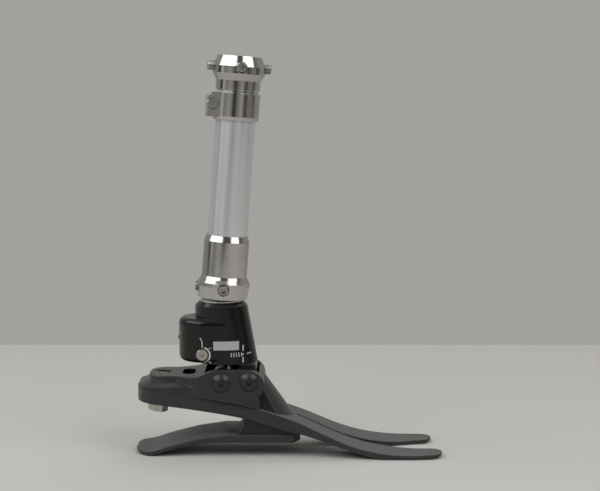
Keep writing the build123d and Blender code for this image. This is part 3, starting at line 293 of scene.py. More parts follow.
def soft_box(name, turn, rise, width, height, radiance, tint):
    data = bpy.data.lights.new(name, "AREA")
    data.shape = "RECTANGLE"
    data.size = width
    data.size_y = height
    data.energy = radiance * pi * width * height
    data.color = tint
    box = bpy.data.objects.new(name, data)
    round_by, up_by = radians(turn), radians(rise)
    away = Vector((sin(round_by) * cos(up_by), -cos(round_by) * cos(up_by), sin(up_by)))
    box.location = away * BOX_DISTANCE + BOX_AIM
    box.rotation_mode = "QUATERNION"
    box.rotation_quaternion = away.to_track_quat("Z", "Y")
    box.visible_camera = False
    bpy.context.scene.collection.objects.link(box)


for name, facts in SOFT_BOXES.items():
    soft_box(name + " soft box", **facts)
print("soft boxes:", list(SOFT_BOXES))

# %% [markdown]
# ## Effects that several finishes share
#
# Grain, drawn lines, brighter edges in patches and dust turn up on nearly every piece, only stronger or weaker.
# The brighter edges are wear, and on the black housing and carrier partly a painted highlight.
# Each is a node group with named inputs, made once here and placed in each material with its own
# values. A group gives out plain values and masks; the shader itself stays in the material.


# %% Shared effects
def new_group(name, inputs, outputs):
    tree = bpy.data.node_groups.new(name, "ShaderNodeTree")
    for title, kind, value in inputs:
        socket = tree.interface.new_socket(title, in_out="INPUT", socket_type=kind)
        socket.default_value = value
    for title in outputs:
        tree.interface.new_socket(title, in_out="OUTPUT", socket_type="NodeSocketFloat")
    return tree, tree.nodes.new("NodeGroupInput").outputs, tree.nodes.new("NodeGroupOutput").inputs


def make_grain():
    """Even, fine noise between 0 and 1 at a size in metres."""
    tree, given, result = new_group("Grain", [("Size", "NodeSocketFloat", 0.001)], ["Value"])
    scale = calc(tree, "DIVIDE", 1.0, given["Size"])
    put(tree, result["Value"], span(tree, noise(tree, own_place(tree), scale, 3), 0.3, 0.7))
    return tree


def make_lines():
    """Noise drawn out along some axes: each of the three sizes is how far it runs that way."""
    inputs = [("Place", "NodeSocketVector", (0, 0, 0)), ("Sizes", "NodeSocketVector", (1, 1, 1))]
    tree, given, result = new_group("Drawn lines", inputs, ["Value"])
    place = vector_calc(tree, "DIVIDE", given["Place"], given["Sizes"])
    put(tree, result["Value"], span(tree, noise(tree, place, 1.0, 3), 0.3, 0.7))
    return tree


# Brighter edges in patches: wear on most finishes, and on the black housing and carrier partly a painted
# highlight.
def make_edge_patches():
    """Where an edge is close, in patches: the rounded normal leaves the true one there."""
    inputs = [("Width", "NodeSocketFloat", 0.0004), ("Patch size", "NodeSocketFloat", 0.006)]
    tree, given, result = new_group("Worn edges", inputs, ["Mask"])
    rounded = tree.nodes.new("ShaderNodeBevel")
    rounded.samples = 4
    put(tree, rounded.inputs["Radius"], given["Width"])
    true = tree.nodes.new("ShaderNodeNewGeometry").outputs["Normal"]
    alike = vector_calc(tree, "DOT_PRODUCT", rounded.outputs[0], true)
    edge = span(tree, alike, 0.985, 0.90)
    scale = calc(tree, "DIVIDE", 1.0, given["Patch size"])
    patch = span(tree, noise(tree, own_place(tree), scale, 4), 0.35, 0.62)
    put(tree, result["Mask"], calc(tree, "MULTIPLY", edge, patch))
    return tree


def make_dust():
    """A thin uneven film on faces that look up."""
    tree, given, result = new_group("Settled dust", [("Amount", "NodeSocketFloat", 0.3)], ["Mask"])
    normal = tree.nodes.new("ShaderNodeNewGeometry").outputs["Normal"]
    upward = vector_calc(tree, "DOT_PRODUCT", normal, (0.0, 0.0, 1.0))
    film = span(tree, noise(tree, own_place(tree), 90.0, 5), 0.3, 0.75, 0.4, 1.0)
    film = calc(tree, "MULTIPLY", film, span(tree, upward, 0.1, 0.95))
    put(tree, result["Mask"], calc(tree, "MULTIPLY", film, given["Amount"]))
    return tree


EFFECTS = {"grain": make_grain(), "lines": make_lines(), "worn edges": make_edge_patches(), "dust": make_dust()}


def use(tree, effect, **values):
    """Place a shared effect in a material and give its first output."""
    made = tree.nodes.new("ShaderNodeGroup")
    made.node_tree = EFFECTS[effect]
    for title, value in values.items():
        put(tree, made.inputs[title.replace("_", " ")], value)
    return made.outputs[0]


print("shared effects:", list(EFFECTS))

# %% [markdown]
# ## Finishes
#
# A finish starts from one shader with plain gloss values. Colour and roughness then change a little
# over the surface, because nothing real is one flat colour, and a shallow bump gives the grain.


# %% Finish helpers
def new_finish(name, metallic=0.0, ior=1.5, coat=0.0, coat_roughness=0.1):
    material = bpy.data.materials.new(name)
    material.use_nodes = True
    shader = material.node_tree.nodes["Principled BSDF"]
    shader.inputs["Metallic"].default_value = metallic
    shader.inputs["IOR"].default_value = ior
    shader.inputs["Coat Weight"].default_value = coat
    shader.inputs["Coat Roughness"].default_value = coat_roughness
    return material, material.node_tree, shader.inputs


def grey(value, red=1.0, green=1.0, blue=1.0):
    return (value * red, value * green, value * blue, 1)


def raise_by(tree, inputs, height, depth, edge=0.0):
    """A bump of a depth in metres, over edges rounded to a radius."""
    bump = tree.nodes.new("ShaderNodeBump")
    bump.inputs["Strength"].default_value = 1.0
    bump.inputs["Distance"].default_value = depth
    put(tree, bump.inputs["Height"], height)
    if edge:
        rounded = tree.nodes.new("ShaderNodeBevel")
        rounded.samples = 4
        rounded.inputs["Radius"].default_value = edge
        put(tree, bump.inputs["Normal"], rounded.outputs[0])
    put(tree, inputs["Normal"], bump.outputs["Normal"])


def along_tube(tree):
    """The place on a piece, turned so that its Z runs along the leaning tube."""
    x, _, z = joints["clamp_swivel"]["axis"]
    turn = tree.nodes.new("ShaderNodeMapping")
    turn.inputs["Rotation"].default_value = (0, -np.arctan2(x, z), 0)
    put(tree, turn.inputs["Vector"], own_place(tree))
    return turn.outputs["Vector"]


print("finish helpers ready")


# %% Metal finishes
def polished_nickel():
    """Nickel plate, polished lengthwise over fine turning marks, with faint handling smudges."""
    material, tree, inputs = new_finish("polished nickel", metallic=1.0)
    place = along_tube(tree)
    polish = use(tree, "lines", Place=place, Sizes=(0.0005, 0.0005, 0.02))
    turning = use(tree, "lines", Place=place, Sizes=(1.0, 1.0, 0.00025))
    smudge = use(tree, "grain", Size=0.012)
    edge_patches = use(tree, "worn edges", Width=0.0005)
    plate = blend(tree, smudge, grey(0.54, 1.0, 0.975, 0.93), grey(0.48, 1.0, 0.97, 0.92))
    put(tree, inputs["Base Color"], blend(tree, edge_patches, plate, grey(0.78, 1.0, 0.98, 0.94)))
    rough = calc(tree, "MULTIPLY_ADD", polish, 0.05, 0.085)
    put(tree, inputs["Roughness"], calc(tree, "MULTIPLY_ADD", smudge, 0.05, rough))
    height = calc(tree, "MULTIPLY_ADD", turning, 0.6, polish)
    raise_by(tree, inputs, height, 0.000004, edge=0.0003)
    return material


def satin_tube():
    """Drawn aluminium tube with a satin anodised coat."""
    material, tree, inputs = new_finish("satin tube", metallic=0.75)
    place = along_tube(tree)
    drawn = use(tree, "lines", Place=place, Sizes=(0.0004, 0.0004, 0.05))
    cloud = use(tree, "grain", Size=0.02)
    coat = blend(tree, cloud, grey(0.75, 0.98, 1.0, 1.03), grey(0.71, 0.98, 1.0, 1.03))
    put(tree, inputs["Base Color"], coat)
    put(tree, inputs["Roughness"], calc(tree, "MULTIPLY_ADD", drawn, 0.08, 0.27))
    raise_by(tree, inputs, drawn, 0.000003)
    return material


def worked_steel(name, shade, tint, low_rough, edge_shade):
    """Steel or bronze with small tool marks and brighter edges."""
    material, tree, inputs = new_finish(name, metallic=1.0)
    marks = use(tree, "grain", Size=0.0006)
    cloud = use(tree, "grain", Size=0.004)
    edge_patches = use(tree, "worn edges", Width=0.0003, Patch_size=0.003)
    body = blend(tree, cloud, grey(shade, *tint), grey(shade * 0.85, *tint))
    put(tree, inputs["Base Color"], blend(tree, edge_patches, body, grey(edge_shade, *tint)))
    put(tree, inputs["Roughness"], calc(tree, "MULTIPLY_ADD", marks, 0.12, low_rough))
    raise_by(tree, inputs, marks, 0.000006, edge=0.0002)
    return material


print("metal finishes ready")


# %% Black finishes
def black_gloss():
    """The housing's gloss black coat over fine casting grain."""
    material, tree, inputs = new_finish("black gloss", ior=1.36, coat=0.2, coat_roughness=0.06)
    grain = use(tree, "grain", Size=0.0007)
    cloud = use(tree, "grain", Size=0.008)
    edge_patches = use(tree, "worn edges", Width=0.0004, Patch_size=0.008)
    dust = use(tree, "dust", Amount=0.03)
    body = blend(tree, cloud, grey(0.002, 1.0, 1.0, 1.06), grey(0.003, 1.0, 1.0, 1.06))
    # Brighter grey edges in patches: partly wear, partly a painted highlight on the housing's edges.
    body = blend(tree, calc(tree, "MULTIPLY", edge_patches, 0.25), body, grey(0.20))
    put(tree, inputs["Base Color"], blend(tree, dust, body, grey(0.35)))
    put(tree, inputs["Roughness"], calc(tree, "MULTIPLY_ADD", grain, 0.06, 0.17))
    raise_by(tree, inputs, grain, 0.000010, edge=0.0004)
    return material


def black_anodised():
    """Machined aluminium, satin black, brighter along its edges: partly rubbed wear, partly a painted highlight on
    the rims.
    """
    material, tree, inputs = new_finish("black anodised", ior=1.6)
    grain = use(tree, "grain", Size=0.0005)
    cloud = use(tree, "grain", Size=0.010)
    edge_patches = use(tree, "worn edges", Width=0.0005, Patch_size=0.010)
    dust = use(tree, "dust", Amount=0.05)
    body = blend(tree, cloud, grey(0.006, 0.97, 1.0, 1.10), grey(0.010, 0.97, 1.0, 1.10))
    # Brighter blue-grey edges in patches: partly rubbed wear, partly a painted highlight along the rims.
    body = blend(tree, calc(tree, "MULTIPLY", edge_patches, 0.5), body, grey(0.22, 0.97, 1.0, 1.06))
    put(tree, inputs["Base Color"], blend(tree, dust, body, grey(0.35)))
    put(tree, inputs["Roughness"], calc(tree, "MULTIPLY_ADD", grain, 0.08, 0.24))
    raise_by(tree, inputs, grain, 0.000012, edge=0.0004)
    return material


def black_oxide():
    """Alloy steel screws with an oily black oxide skin."""
    material, tree, inputs = new_finish("black oxide", metallic=0.6, ior=1.8)
    grain = use(tree, "grain", Size=0.0004)
    edge_patches = use(tree, "worn edges", Width=0.0003, Patch_size=0.003)
    body = blend(tree, grain, grey(0.018, 1.0, 1.0, 1.05), grey(0.028, 1.0, 1.0, 1.05))
    put(tree, inputs["Base Color"], blend(tree, calc(tree, "MULTIPLY", edge_patches, 0.5), body, grey(0.30)))
    put(tree, inputs["Roughness"], calc(tree, "MULTIPLY_ADD", grain, 0.10, 0.30))
    raise_by(tree, inputs, grain, 0.000006, edge=0.0003)
    return material


def matt_black(name, shade, rough):
    """Moulded plastic or rubber with a fine matt texture."""
    material, tree, inputs = new_finish(name)
    grain = use(tree, "grain", Size=0.0008)
    dust = use(tree, "dust", Amount=0.06)
    body = blend(tree, grain, grey(shade), grey(shade * 1.4))
    put(tree, inputs["Base Color"], blend(tree, dust, body, grey(0.3)))
    put(tree, inputs["Roughness"], calc(tree, "MULTIPLY_ADD", grain, 0.1, rough))
    raise_by(tree, inputs, grain, 0.00002, edge=0.0003)
    return material


print("black finishes ready")


# %% Carbon finish
def carbon():
    """Moulded carbon leaf: grey peel-ply faces, and dark cut sides that show the plies."""
    material, tree, inputs = new_finish("carbon laminate", ior=1.5)
    names = {}
    for name in ("along", "through"):
        attribute = tree.nodes.new("ShaderNodeAttribute")
        attribute.attribute_name = name
        names[name] = attribute.outputs["Fac"]
    split = tree.nodes.new("ShaderNodeSeparateXYZ")
    put(tree, split.inputs[0], own_place(tree))
    joined = tree.nodes.new("ShaderNodeCombineXYZ")
    put(tree, joined.inputs[0], names["along"])
    put(tree, joined.inputs[1], split.outputs[1])
    put(tree, joined.inputs[2], names["through"])
    place = joined.outputs[0]
    normal = tree.nodes.new("ShaderNodeNewGeometry").outputs["Normal"]
    sideways = calc(tree, "ABSOLUTE", vector_calc(tree, "DOT_PRODUCT", normal, (0.0, 1.0, 0.0)))
    side = span(tree, sideways, 0.45, 0.75)
    fibres = use(tree, "lines", Place=place, Sizes=(0.010, 0.00035, 1.0))
    plies = use(tree, "lines", Place=place, Sizes=(0.030, 1.0, 0.00028))
    cloud = use(tree, "grain", Size=0.009)
    speck = use(tree, "grain", Size=0.0009)
    face = blend(tree, fibres, grey(0.070, 1.0, 1.0, 1.0), grey(0.095, 1.0, 1.0, 0.99))
    face = blend(tree, calc(tree, "MULTIPLY", cloud, 0.4), face, grey(0.095))
    cut = blend(tree, plies, grey(0.016, 0.97, 1.0, 1.06), grey(0.036, 0.97, 1.0, 1.06))
    put(tree, inputs["Base Color"], blend(tree, side, face, cut))
    rough = calc(tree, "MULTIPLY_ADD", side, -0.08, 0.46)
    put(tree, inputs["Roughness"], calc(tree, "MULTIPLY_ADD", speck, 0.08, rough))
    height = calc(tree, "ADD", calc(tree, "MULTIPLY", plies, side), calc(tree, "MULTIPLY", fibres, 0.4))
    raise_by(tree, inputs, calc(tree, "ADD", height, speck), 0.000012, edge=0.0005)
    return material


print("carbon finish ready")


# %% Every slot's finish
FINISHES = {
    "carbon": carbon(),
    "wedge_plastic": matt_black("moulded plastic", 0.006, 0.50),
    "black_anodised": black_anodised(),
    "black_gloss": black_gloss(),
    "polished_nickel": polished_nickel(),
    "tube_aluminium": satin_tube(),
    "bolt_nickel": worked_steel("dull nickel", 0.58, (1.0, 0.94, 0.82), 0.30, 0.70),
    "black_oxide": black_oxide(),
    "screw_steel": worked_steel("dark zinc", 0.44, (1.0, 0.99, 0.97), 0.22, 0.75),
    "valve_steel": worked_steel("turned steel", 0.50, (1.0, 0.95, 0.86), 0.26, 0.65),
    "pin_steel": worked_steel("ground steel", 0.55, (1.0, 1.0, 1.0), 0.16, 0.70),
    "bearing_bronze": worked_steel("bearing bronze", 0.50, (1.0, 0.74, 0.42), 0.28, 0.65),
    "seal_rubber": matt_black("seal rubber", 0.016, 0.6),
}
slots = {part["node"]: part["material_slot"] for part in frame["record"]["subparts"]}
for node, slot in slots.items():
    materials = frame["nodes"][node].data.materials
    for index in range(len(materials)):
        materials[index] = FINISHES[slot]
print(len(slots), "nodes dressed in", len(FINISHES), "finishes")

# %% [markdown]
# ## Springs whose grain follows the leaf
#
# A carbon leaf is a stack of plies bent to shape, so its grain runs along the curve. Noise on plain
# coordinates would cut straight through it. A copy of each spring gets two numbers at every point:
# how far along the leaf it lies, and how deep below the upper face. The finish reads both.

# %% Springs
LEAF_SAMPLES = 160
LEAF_END_GAP = 0.0005
CAST_HEIGHT = 0.3
SHARP_ANGLE = 28
WELD_DISTANCE = 0.000002


def top_line(tree, low, high, lanes):
    """The upper face's height at even steps along X."""
    places = np.linspace(low.x + LEAF_END_GAP, high.x - LEAF_END_GAP, LEAF_SAMPLES)
    heights = []
    for x in places:
        hits = [tree.ray_cast(Vector((x, y, CAST_HEIGHT)), Vector((0, 0, -1)))[0] for y in lanes]
        hits = [hit.z for hit in hits if hit is not None]
        heights.append(max(hits) if hits else (heights[-1] if heights else high.z))
    return places, np.array(heights)


def leaf_copy(node, lanes):
    """A copy of a spring that knows its own length and depth."""
    low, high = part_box(node)
    work = bmesh.new()
    work.from_mesh(frame["nodes"][node].data)
    bmesh.ops.remove_doubles(work, verts=work.verts, dist=WELD_DISTANCE)
    places, heights = top_line(BVHTree.FromBMesh(work), low, high, lanes)
    steps = np.hypot(np.diff(places), np.diff(heights))
    lengths = np.concatenate([[0], np.cumsum(steps)])
    slopes = np.cos(np.arctan(np.gradient(heights, places)))
    mesh = bpy.data.meshes.new(node + "_leaf")
    work.to_mesh(mesh)
    work.free()
    x = np.array([vertex.co.x for vertex in mesh.vertices])
    z = np.array([vertex.co.z for vertex in mesh.vertices])
    along = np.interp(x, places, lengths)
    through = (np.interp(x, places, heights) - z) * np.interp(x, places, slopes)
    for name, values in (("along", along), ("through", through)):
        attribute = mesh.attributes.new(name, "FLOAT", "POINT")
        attribute.data.foreach_set("value", values)
    mesh.shade_smooth()
    mesh.set_sharp_from_angle(angle=radians(SHARP_ANGLE))
    mesh.materials.append(FINISHES["carbon"])
    leaf = link_new(node + "_leaf", mesh)
    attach(leaf, "foot")
    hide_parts(node)
    print(node, "is", round(lengths[-1] * 1000), "mm along its upper face")


leaf_copy("toe_spring", (-0.023, -0.008))
leaf_copy("heel_spring", (-0.018, -0.004))

# %% [markdown]
# ## Threaded set screws
#
# Each receiver is tightened by four grub screws, and some stand proud, so their threads show. A
# thread could be swept as a helix, but it is simpler to roll it: a tube is grown along each screw's
# axis, and its radius dips in a wave that depends on both the height and the turn. Geometry Nodes do
# this for every screw in a node at once, from one line for each screw.


# %% Geometry Nodes helpers
def new_tree(name, sockets):
    tree = bpy.data.node_groups.new(name, "GeometryNodeTree")
    tree.interface.new_socket("Geometry", in_out="INPUT", socket_type="NodeSocketGeometry")
    for title, kind, value in sockets:
        socket = tree.interface.new_socket(title, in_out="INPUT", socket_type=kind)
        if value is not None:
            socket.default_value = value
    tree.interface.new_socket("Geometry", in_out="OUTPUT", socket_type="NodeSocketGeometry")
    return tree, tree.nodes.new("NodeGroupInput").outputs, tree.nodes.new("NodeGroupOutput").inputs


def add(tree, kind, settings=None, **inputs):
    """A node with its settings and its inputs, given by title."""
    made = tree.nodes.new(kind)
    for name, value in (settings or {}).items():
        setattr(made, name, value)
    for title, source in inputs.items():
        put(tree, made.inputs[title.replace("_", " ")], source)
    return made.outputs


def capture(tree, geometry, **fields):
    """Store fields on a geometry's points and give the geometry and each stored field."""
    made = tree.nodes.new("GeometryNodeCaptureAttribute")
    for title, (kind, source) in fields.items():
        made.capture_items.new(kind, title)
        put(tree, made.inputs[title], source)
    put(tree, made.inputs["Geometry"], geometry)
    return [made.outputs["Geometry"]] + [made.outputs[title] for title in fields]


def grow(name, base, tree, values):
    """Run a tree on a mesh once and keep the result as a plain piece."""
    seed = link_new(name + "_seed", base)
    modifier = seed.modifiers.new("grow", "NODES")
    modifier.node_group = tree
    titles = {item.name: item.identifier for item in tree.interface.items_tree if item.in_out == "INPUT"}
    for title, value in values.items():
        modifier[titles[title]] = value
    depsgraph = bpy.context.evaluated_depsgraph_get()
    mesh = bpy.data.meshes.new_from_object(seed.evaluated_get(depsgraph))
    mesh.name = name
    bpy.data.objects.remove(seed)
    return link_new(name, mesh)


print("geometry helpers ready")

# %% Set screw tree
THREAD_STEPS = 84
THREAD_SIDES = 40


def set_screw_tree():
    sockets = [
        ("Radius", "NodeSocketFloat", 0.004),
        ("Pitch", "NodeSocketFloat", 0.00125),
        ("Thread depth", "NodeSocketFloat", 0.0006),
        ("Point", "NodeSocketFloat", 0.0012),
        ("Lead", "NodeSocketFloat", 0.0006),
        ("Socket across", "NodeSocketFloat", 0.004),
        ("Socket depth", "NodeSocketFloat", 0.004),
        ("Material", "NodeSocketMaterial", None),
    ]
    tree, given, result = new_tree("Threaded set screws", sockets)
    lines = add(tree, "GeometryNodeMeshToCurve", Mesh=given["Geometry"])[0]
    lines = add(tree, "GeometryNodeResampleCurve", Curve=lines, Count=THREAD_STEPS)[0]
    height = add(tree, "GeometryNodeSplineParameter")["Length"]
    whole = add(tree, "GeometryNodeSplineLength")["Length"]
    position = add(tree, "GeometryNodeInputPosition")[0]
    core, height, whole, centre = capture(
        tree, lines, height=("FLOAT", height), whole=("FLOAT", whole), centre=("VECTOR", position)
    )
    ring = add(tree, "GeometryNodeCurvePrimitiveCircle", Resolution=THREAD_SIDES, Radius=given["Radius"])[0]
    factor = add(tree, "GeometryNodeSplineParameter")["Factor"]
    ring, turn = capture(tree, ring, turn=("FLOAT", factor))
    screw = add(tree, "GeometryNodeCurveToMesh", Curve=core, Profile_Curve=ring, Fill_Caps=True)[0]
    wave = calc(tree, "ADD", calc(tree, "DIVIDE", height, given["Pitch"]), turn)
    wave = calc(tree, "ABSOLUTE", calc(tree, "MULTIPLY_ADD", calc(tree, "FRACT", wave), 2.0, -1.0))
    inset = calc(tree, "MULTIPLY", wave, given["Thread depth"])
    inset = calc(tree, "MAXIMUM", inset, calc(tree, "SUBTRACT", given["Point"], height))
    outer = calc(tree, "SUBTRACT", given["Lead"], calc(tree, "SUBTRACT", whole, height))
    inset = calc(tree, "MAXIMUM", inset, outer)
    radial = vector_calc(tree, "NORMALIZE", vector_calc(tree, "SUBTRACT", position, centre))
    shift = tree.nodes.new("ShaderNodeVectorMath")
    shift.operation = "SCALE"
    put(tree, shift.inputs[0], radial)
    put(tree, shift.inputs["Scale"], calc(tree, "MULTIPLY", inset, -1.0))
    screw = add(tree, "GeometryNodeSetPosition", Geometry=screw, Offset=shift.outputs[0])[0]
    socket = cut_socket(tree, given, lines)
    cut = tree.nodes.new("GeometryNodeMeshBoolean")
    cut.operation = "DIFFERENCE"
    put(tree, cut.inputs["Mesh 1"], screw)
    tree.links.new(socket, cut.inputs["Mesh 2"])
    made = add(tree, "GeometryNodeRealizeInstances", Geometry=cut.outputs[0])[0]
    made = add(tree, "GeometryNodeSetMaterial", Geometry=made, Material=given["Material"])[0]
    put(tree, result["Geometry"], made)
    return tree


def cut_socket(tree, given, lines):
    """A hexagonal prism at each line's far end."""
    corner = calc(tree, "DIVIDE", given["Socket across"], sqrt(3))
    depth = calc(tree, "MULTIPLY", given["Socket depth"], 2.0)
    prism = add(tree, "GeometryNodeMeshCylinder", Vertices=6, Radius=corner, Depth=depth)[0]
    last = add(tree, "GeometryNodeCurveEndpointSelection", Start_Size=0, End_Size=1)[0]
    tangent = add(tree, "GeometryNodeInputTangent")[0]
    turn = add(tree, "FunctionNodeAlignRotationToVector", {"axis": "Z"}, Vector=tangent)[0]
    prisms = add(
        tree, "GeometryNodeInstanceOnPoints", Points=lines, Selection=last, Instance=prism, Rotation=turn
    )[0]
    return add(tree, "GeometryNodeRealizeInstances", Geometry=prisms)[0]


screw_tree = set_screw_tree()
print("set screw tree has", len(screw_tree.nodes), "nodes")

# %% Set screws
tube_axis = Vector(joints["clamp_swivel"]["axis"])
tube_point = Vector(joints["clamp_swivel"]["pos_m"])


def loose_parts(node):
    """The separate solids of a CAD node, as lists of points."""
    work = bmesh.new()
    work.from_mesh(frame["nodes"][node].data)
    bmesh.ops.remove_doubles(work, verts=work.verts, dist=WELD_DISTANCE)
    left = set(work.verts)
    parts = []
    while left:
        found = [left.pop()]
        for vertex in found:
            for edge in vertex.link_edges:
                other = edge.other_vert(vertex)
                if other in left:
                    left.remove(other)
                    found.append(other)
        parts.append([vertex.co.copy() for vertex in found])
    work.free()
    return sorted(parts, key=lambda points: (round(points[0].x, 5), round(points[0].y, 5)))


def screw_line(points):
    """A set screw's axis from its point outwards, and its radius."""
    centre = sum(points, Vector()) / len(points)
    lift = (centre - tube_point).dot(tube_axis)
    out = centre - tube_point - tube_axis * lift
    out.normalize()
    reach = [(point - centre).dot(out) for point in points]
    radius = max((point - centre - out * r).length for point, r in zip(points, reach))
    return centre + out * min(reach), centre + out * max(reach), radius


def set_screws(node, body):
    """Threaded screws in the places of a node's plain ones."""
    lines = [screw_line(points) for points in loose_parts(node)]
    corners = [corner for start, end, _ in lines for corner in (start, end)]
    base = bpy.data.meshes.new(node + "_lines")
    base.from_pydata(corners, [(2 * i, 2 * i + 1) for i in range(len(lines))], [])
    values = {"Radius": lines[0][2], "Material": FINISHES["screw_steel"]}
    screws = grow(node + "_threaded", base, screw_tree, values)
    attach(screws, body)
    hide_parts(node)
    print(screws.name, "has", len(lines), "screws and", len(screws.data.polygons), "faces")


set_screws("clamp_screws", "clamp")
set_screws("tube_adapter_screws", "shank")

# %% [markdown]
# ## Printed marks
#
# Beside each valve the housing carries a white arc with a minus, a dot and a line that leads to it.
# The near side also has a row of ticks that ends in a cross, with a blank label above. They are thin
# ink and film on a curved wall. The marks are drawn flat in front of the wall, then Geometry Nodes
# throw each point onto it and give it the thickness of a coat of ink, so they follow any change of the
# housing. A point that would miss the wall is left out.

# %% Marks tree
INK_STANDOFF = 0.00002
INK_THICKNESS = 0.00006
INK_WELD = 0.000005
DRAWING_DISTANCE = 0.04
THROW_LENGTH = 0.2


def marks_tree():
    """Flat drawings beside a wall, thrown onto it and given a thickness, with a row of ticks."""
    sockets = [
        ("Wall", "NodeSocketObject", None),
        ("Side", "NodeSocketFloat", -1.0),
        ("Tick count", "NodeSocketInt", 5),
        ("Tick spacing", "NodeSocketFloat", 0.0019),
        ("Tick width", "NodeSocketFloat", 0.0007),
        ("Tick height", "NodeSocketFloat", 0.0032),
        ("First tick", "NodeSocketVector", (0, 0, 0)),
        ("Thickness", "NodeSocketFloat", INK_THICKNESS),
        ("Material", "NodeSocketMaterial", None),
    ]
    tree, given, result = new_tree("Printed marks", sockets)
    step = add(tree, "ShaderNodeCombineXYZ", X=given["Tick spacing"])[0]
    row = add(
        tree, "GeometryNodeMeshLine", {"mode": "OFFSET"},
        Count=given["Tick count"], Start_Location=given["First tick"], Offset=step,
    )[0]
    bar = add(
        tree, "GeometryNodeMeshGrid",
        Size_X=given["Tick width"], Size_Y=given["Tick height"], Vertices_X=3, Vertices_Y=6,
    )[0]
    upright = add(tree, "FunctionNodeEulerToRotation", Euler=(pi / 2, 0, 0))[0]
    ticks = add(tree, "GeometryNodeInstanceOnPoints", Points=row, Instance=bar, Rotation=upright)[0]
    ticks = add(tree, "GeometryNodeRealizeInstances", Geometry=ticks)[0]
    join = tree.nodes.new("GeometryNodeJoinGeometry")
    tree.links.new(ticks, join.inputs[0])
    tree.links.new(given["Geometry"], join.inputs[0])
    inward = add(tree, "ShaderNodeCombineXYZ", Y=calc(tree, "MULTIPLY", given["Side"], -1.0))[0]
    outward = add(tree, "ShaderNodeCombineXYZ", Y=given["Side"])[0]
    wall = add(tree, "GeometryNodeObjectInfo", Object=given["Wall"])["Geometry"]
    cast = add(
        tree, "GeometryNodeRaycast",
        Target_Geometry=wall, Ray_Direction=inward, Ray_Length=THROW_LENGTH,
    )
    lift = tree.nodes.new("ShaderNodeVectorMath")
    lift.operation = "SCALE"
    put(tree, lift.inputs[0], outward)
    lift.inputs["Scale"].default_value = INK_STANDOFF
    place = vector_calc(tree, "ADD", cast["Hit Position"], lift.outputs[0])
    missed = calc(tree, "SUBTRACT", 1.0, cast["Is Hit"])
    landed = add(
        tree, "GeometryNodeDeleteGeometry", {"domain": "POINT"}, Geometry=join.outputs[0], Selection=missed
    )[0]
    sheet = add(tree, "GeometryNodeSetPosition", Geometry=landed, Position=place)[0]
    front = add(
        tree, "GeometryNodeExtrudeMesh", {"mode": "FACES"},
        Mesh=sheet, Offset=outward, Offset_Scale=given["Thickness"], Individual=False,
    )[0]
    back = add(tree, "GeometryNodeFlipFaces", Mesh=sheet)[0]
    whole = tree.nodes.new("GeometryNodeJoinGeometry")
    tree.links.new(front, whole.inputs[0])
    tree.links.new(back, whole.inputs[0])
    made = add(tree, "GeometryNodeMergeByDistance", Geometry=whole.outputs[0], Distance=INK_WELD)[0]
    made = add(tree, "GeometryNodeRealizeInstances", Geometry=made)[0]
    made = add(tree, "GeometryNodeSetMaterial", Geometry=made, Material=given["Material"])[0]
    put(tree, result["Geometry"], made)
    return tree


ink_tree = marks_tree()
print("marks tree has", len(ink_tree.nodes), "nodes")


# %% Flat drawings
ARC_POINTS = 28
BAR_POINTS = 8
DOT_POINTS = 7


def strip(points, width):
    """A band of quads along a line of points in X and Z."""
    path = np.array(points, float)
    run = np.gradient(path, axis=0)
    run /= np.linalg.norm(run, axis=1)[:, None]
    across = np.stack([-run[:, 1], run[:, 0]], axis=1) * width / 2
    rows = [path - across, path, path + across]
    return rows_to_faces(rows)


def rows_to_faces(rows):
    """Points and faces of a grid given as rows of points in X and Z."""
    count = len(rows[0])
    points = [tuple(point) for row in rows for point in row]
    faces = []
    for row in range(len(rows) - 1):
        for i in range(count - 1):
            first = row * count + i
            faces.append((first, first + 1, first + count + 1, first + count))
    return points, faces


def arc(centre, radius, start, end, width):
    angles = np.radians(np.linspace(start, end, ARC_POINTS))
    return strip([(centre[0] + radius * cos(a), centre[1] + radius * sin(a)) for a in angles], width)


def bar(start, end, width):
    steps = np.linspace(0, 1, BAR_POINTS)[:, None]
    return strip(np.array(start) + steps * (np.array(end) - np.array(start)), width)


def dot(centre, radius):
    """A small disc as a square grid pushed round."""
    rows = []
    for v in np.linspace(-1, 1, DOT_POINTS):
        row = []
        for u in np.linspace(-1, 1, DOT_POINTS):
            x = u * sqrt(1 - v * v / 2)
            z = v * sqrt(1 - u * u / 2)
            row.append((centre[0] + radius * x, centre[1] + radius * z))
        rows.append(row)
    return rows_to_faces(rows)


def drawing(name, shapes, side):
    """One flat mesh from several shapes, standing beside the housing and facing outwards."""
    points, faces = [], []
    for shape_points, shape_faces in shapes:
        start = len(points)
        points += [(x, side * DRAWING_DISTANCE, z) for x, z in shape_points]
        faces += [tuple(start + index for index in face) for face in shape_faces]
    mesh = bpy.data.meshes.new(name)
    mesh.from_pydata(points, [], faces)
    work = bmesh.new()
    work.from_mesh(mesh)
    for face in work.faces:
        if face.normal.y * side < 0:
            face.normal_flip()
    work.to_mesh(mesh)
    work.free()
    return mesh


print("drawing helpers ready")


# %% Ink and label finishes
def white_ink():
    material, tree, inputs = new_finish("white ink")
    patch = use(tree, "grain", Size=0.0006)
    put(tree, inputs["Base Color"], blend(tree, patch, grey(0.62), grey(0.44)))
    put(tree, inputs["Roughness"], calc(tree, "MULTIPLY_ADD", patch, 0.1, 0.4))
    return material


def label_film():
    """A blank sticker with a faint pearl tint that drifts along it."""
    material, tree, inputs = new_finish("label film")
    drift = use(tree, "grain", Size=0.010)
    speck = use(tree, "grain", Size=0.0008)
    film = blend(tree, drift, (0.40, 0.40, 0.47, 1), (0.46, 0.45, 0.41, 1))
    put(tree, inputs["Base Color"], blend(tree, calc(tree, "MULTIPLY", speck, 0.2), film, grey(0.6)))
    put(tree, inputs["Roughness"], calc(tree, "MULTIPLY_ADD", speck, 0.1, 0.3))
    return material


INK = white_ink()
FILM = label_film()
print("ink and film ready")

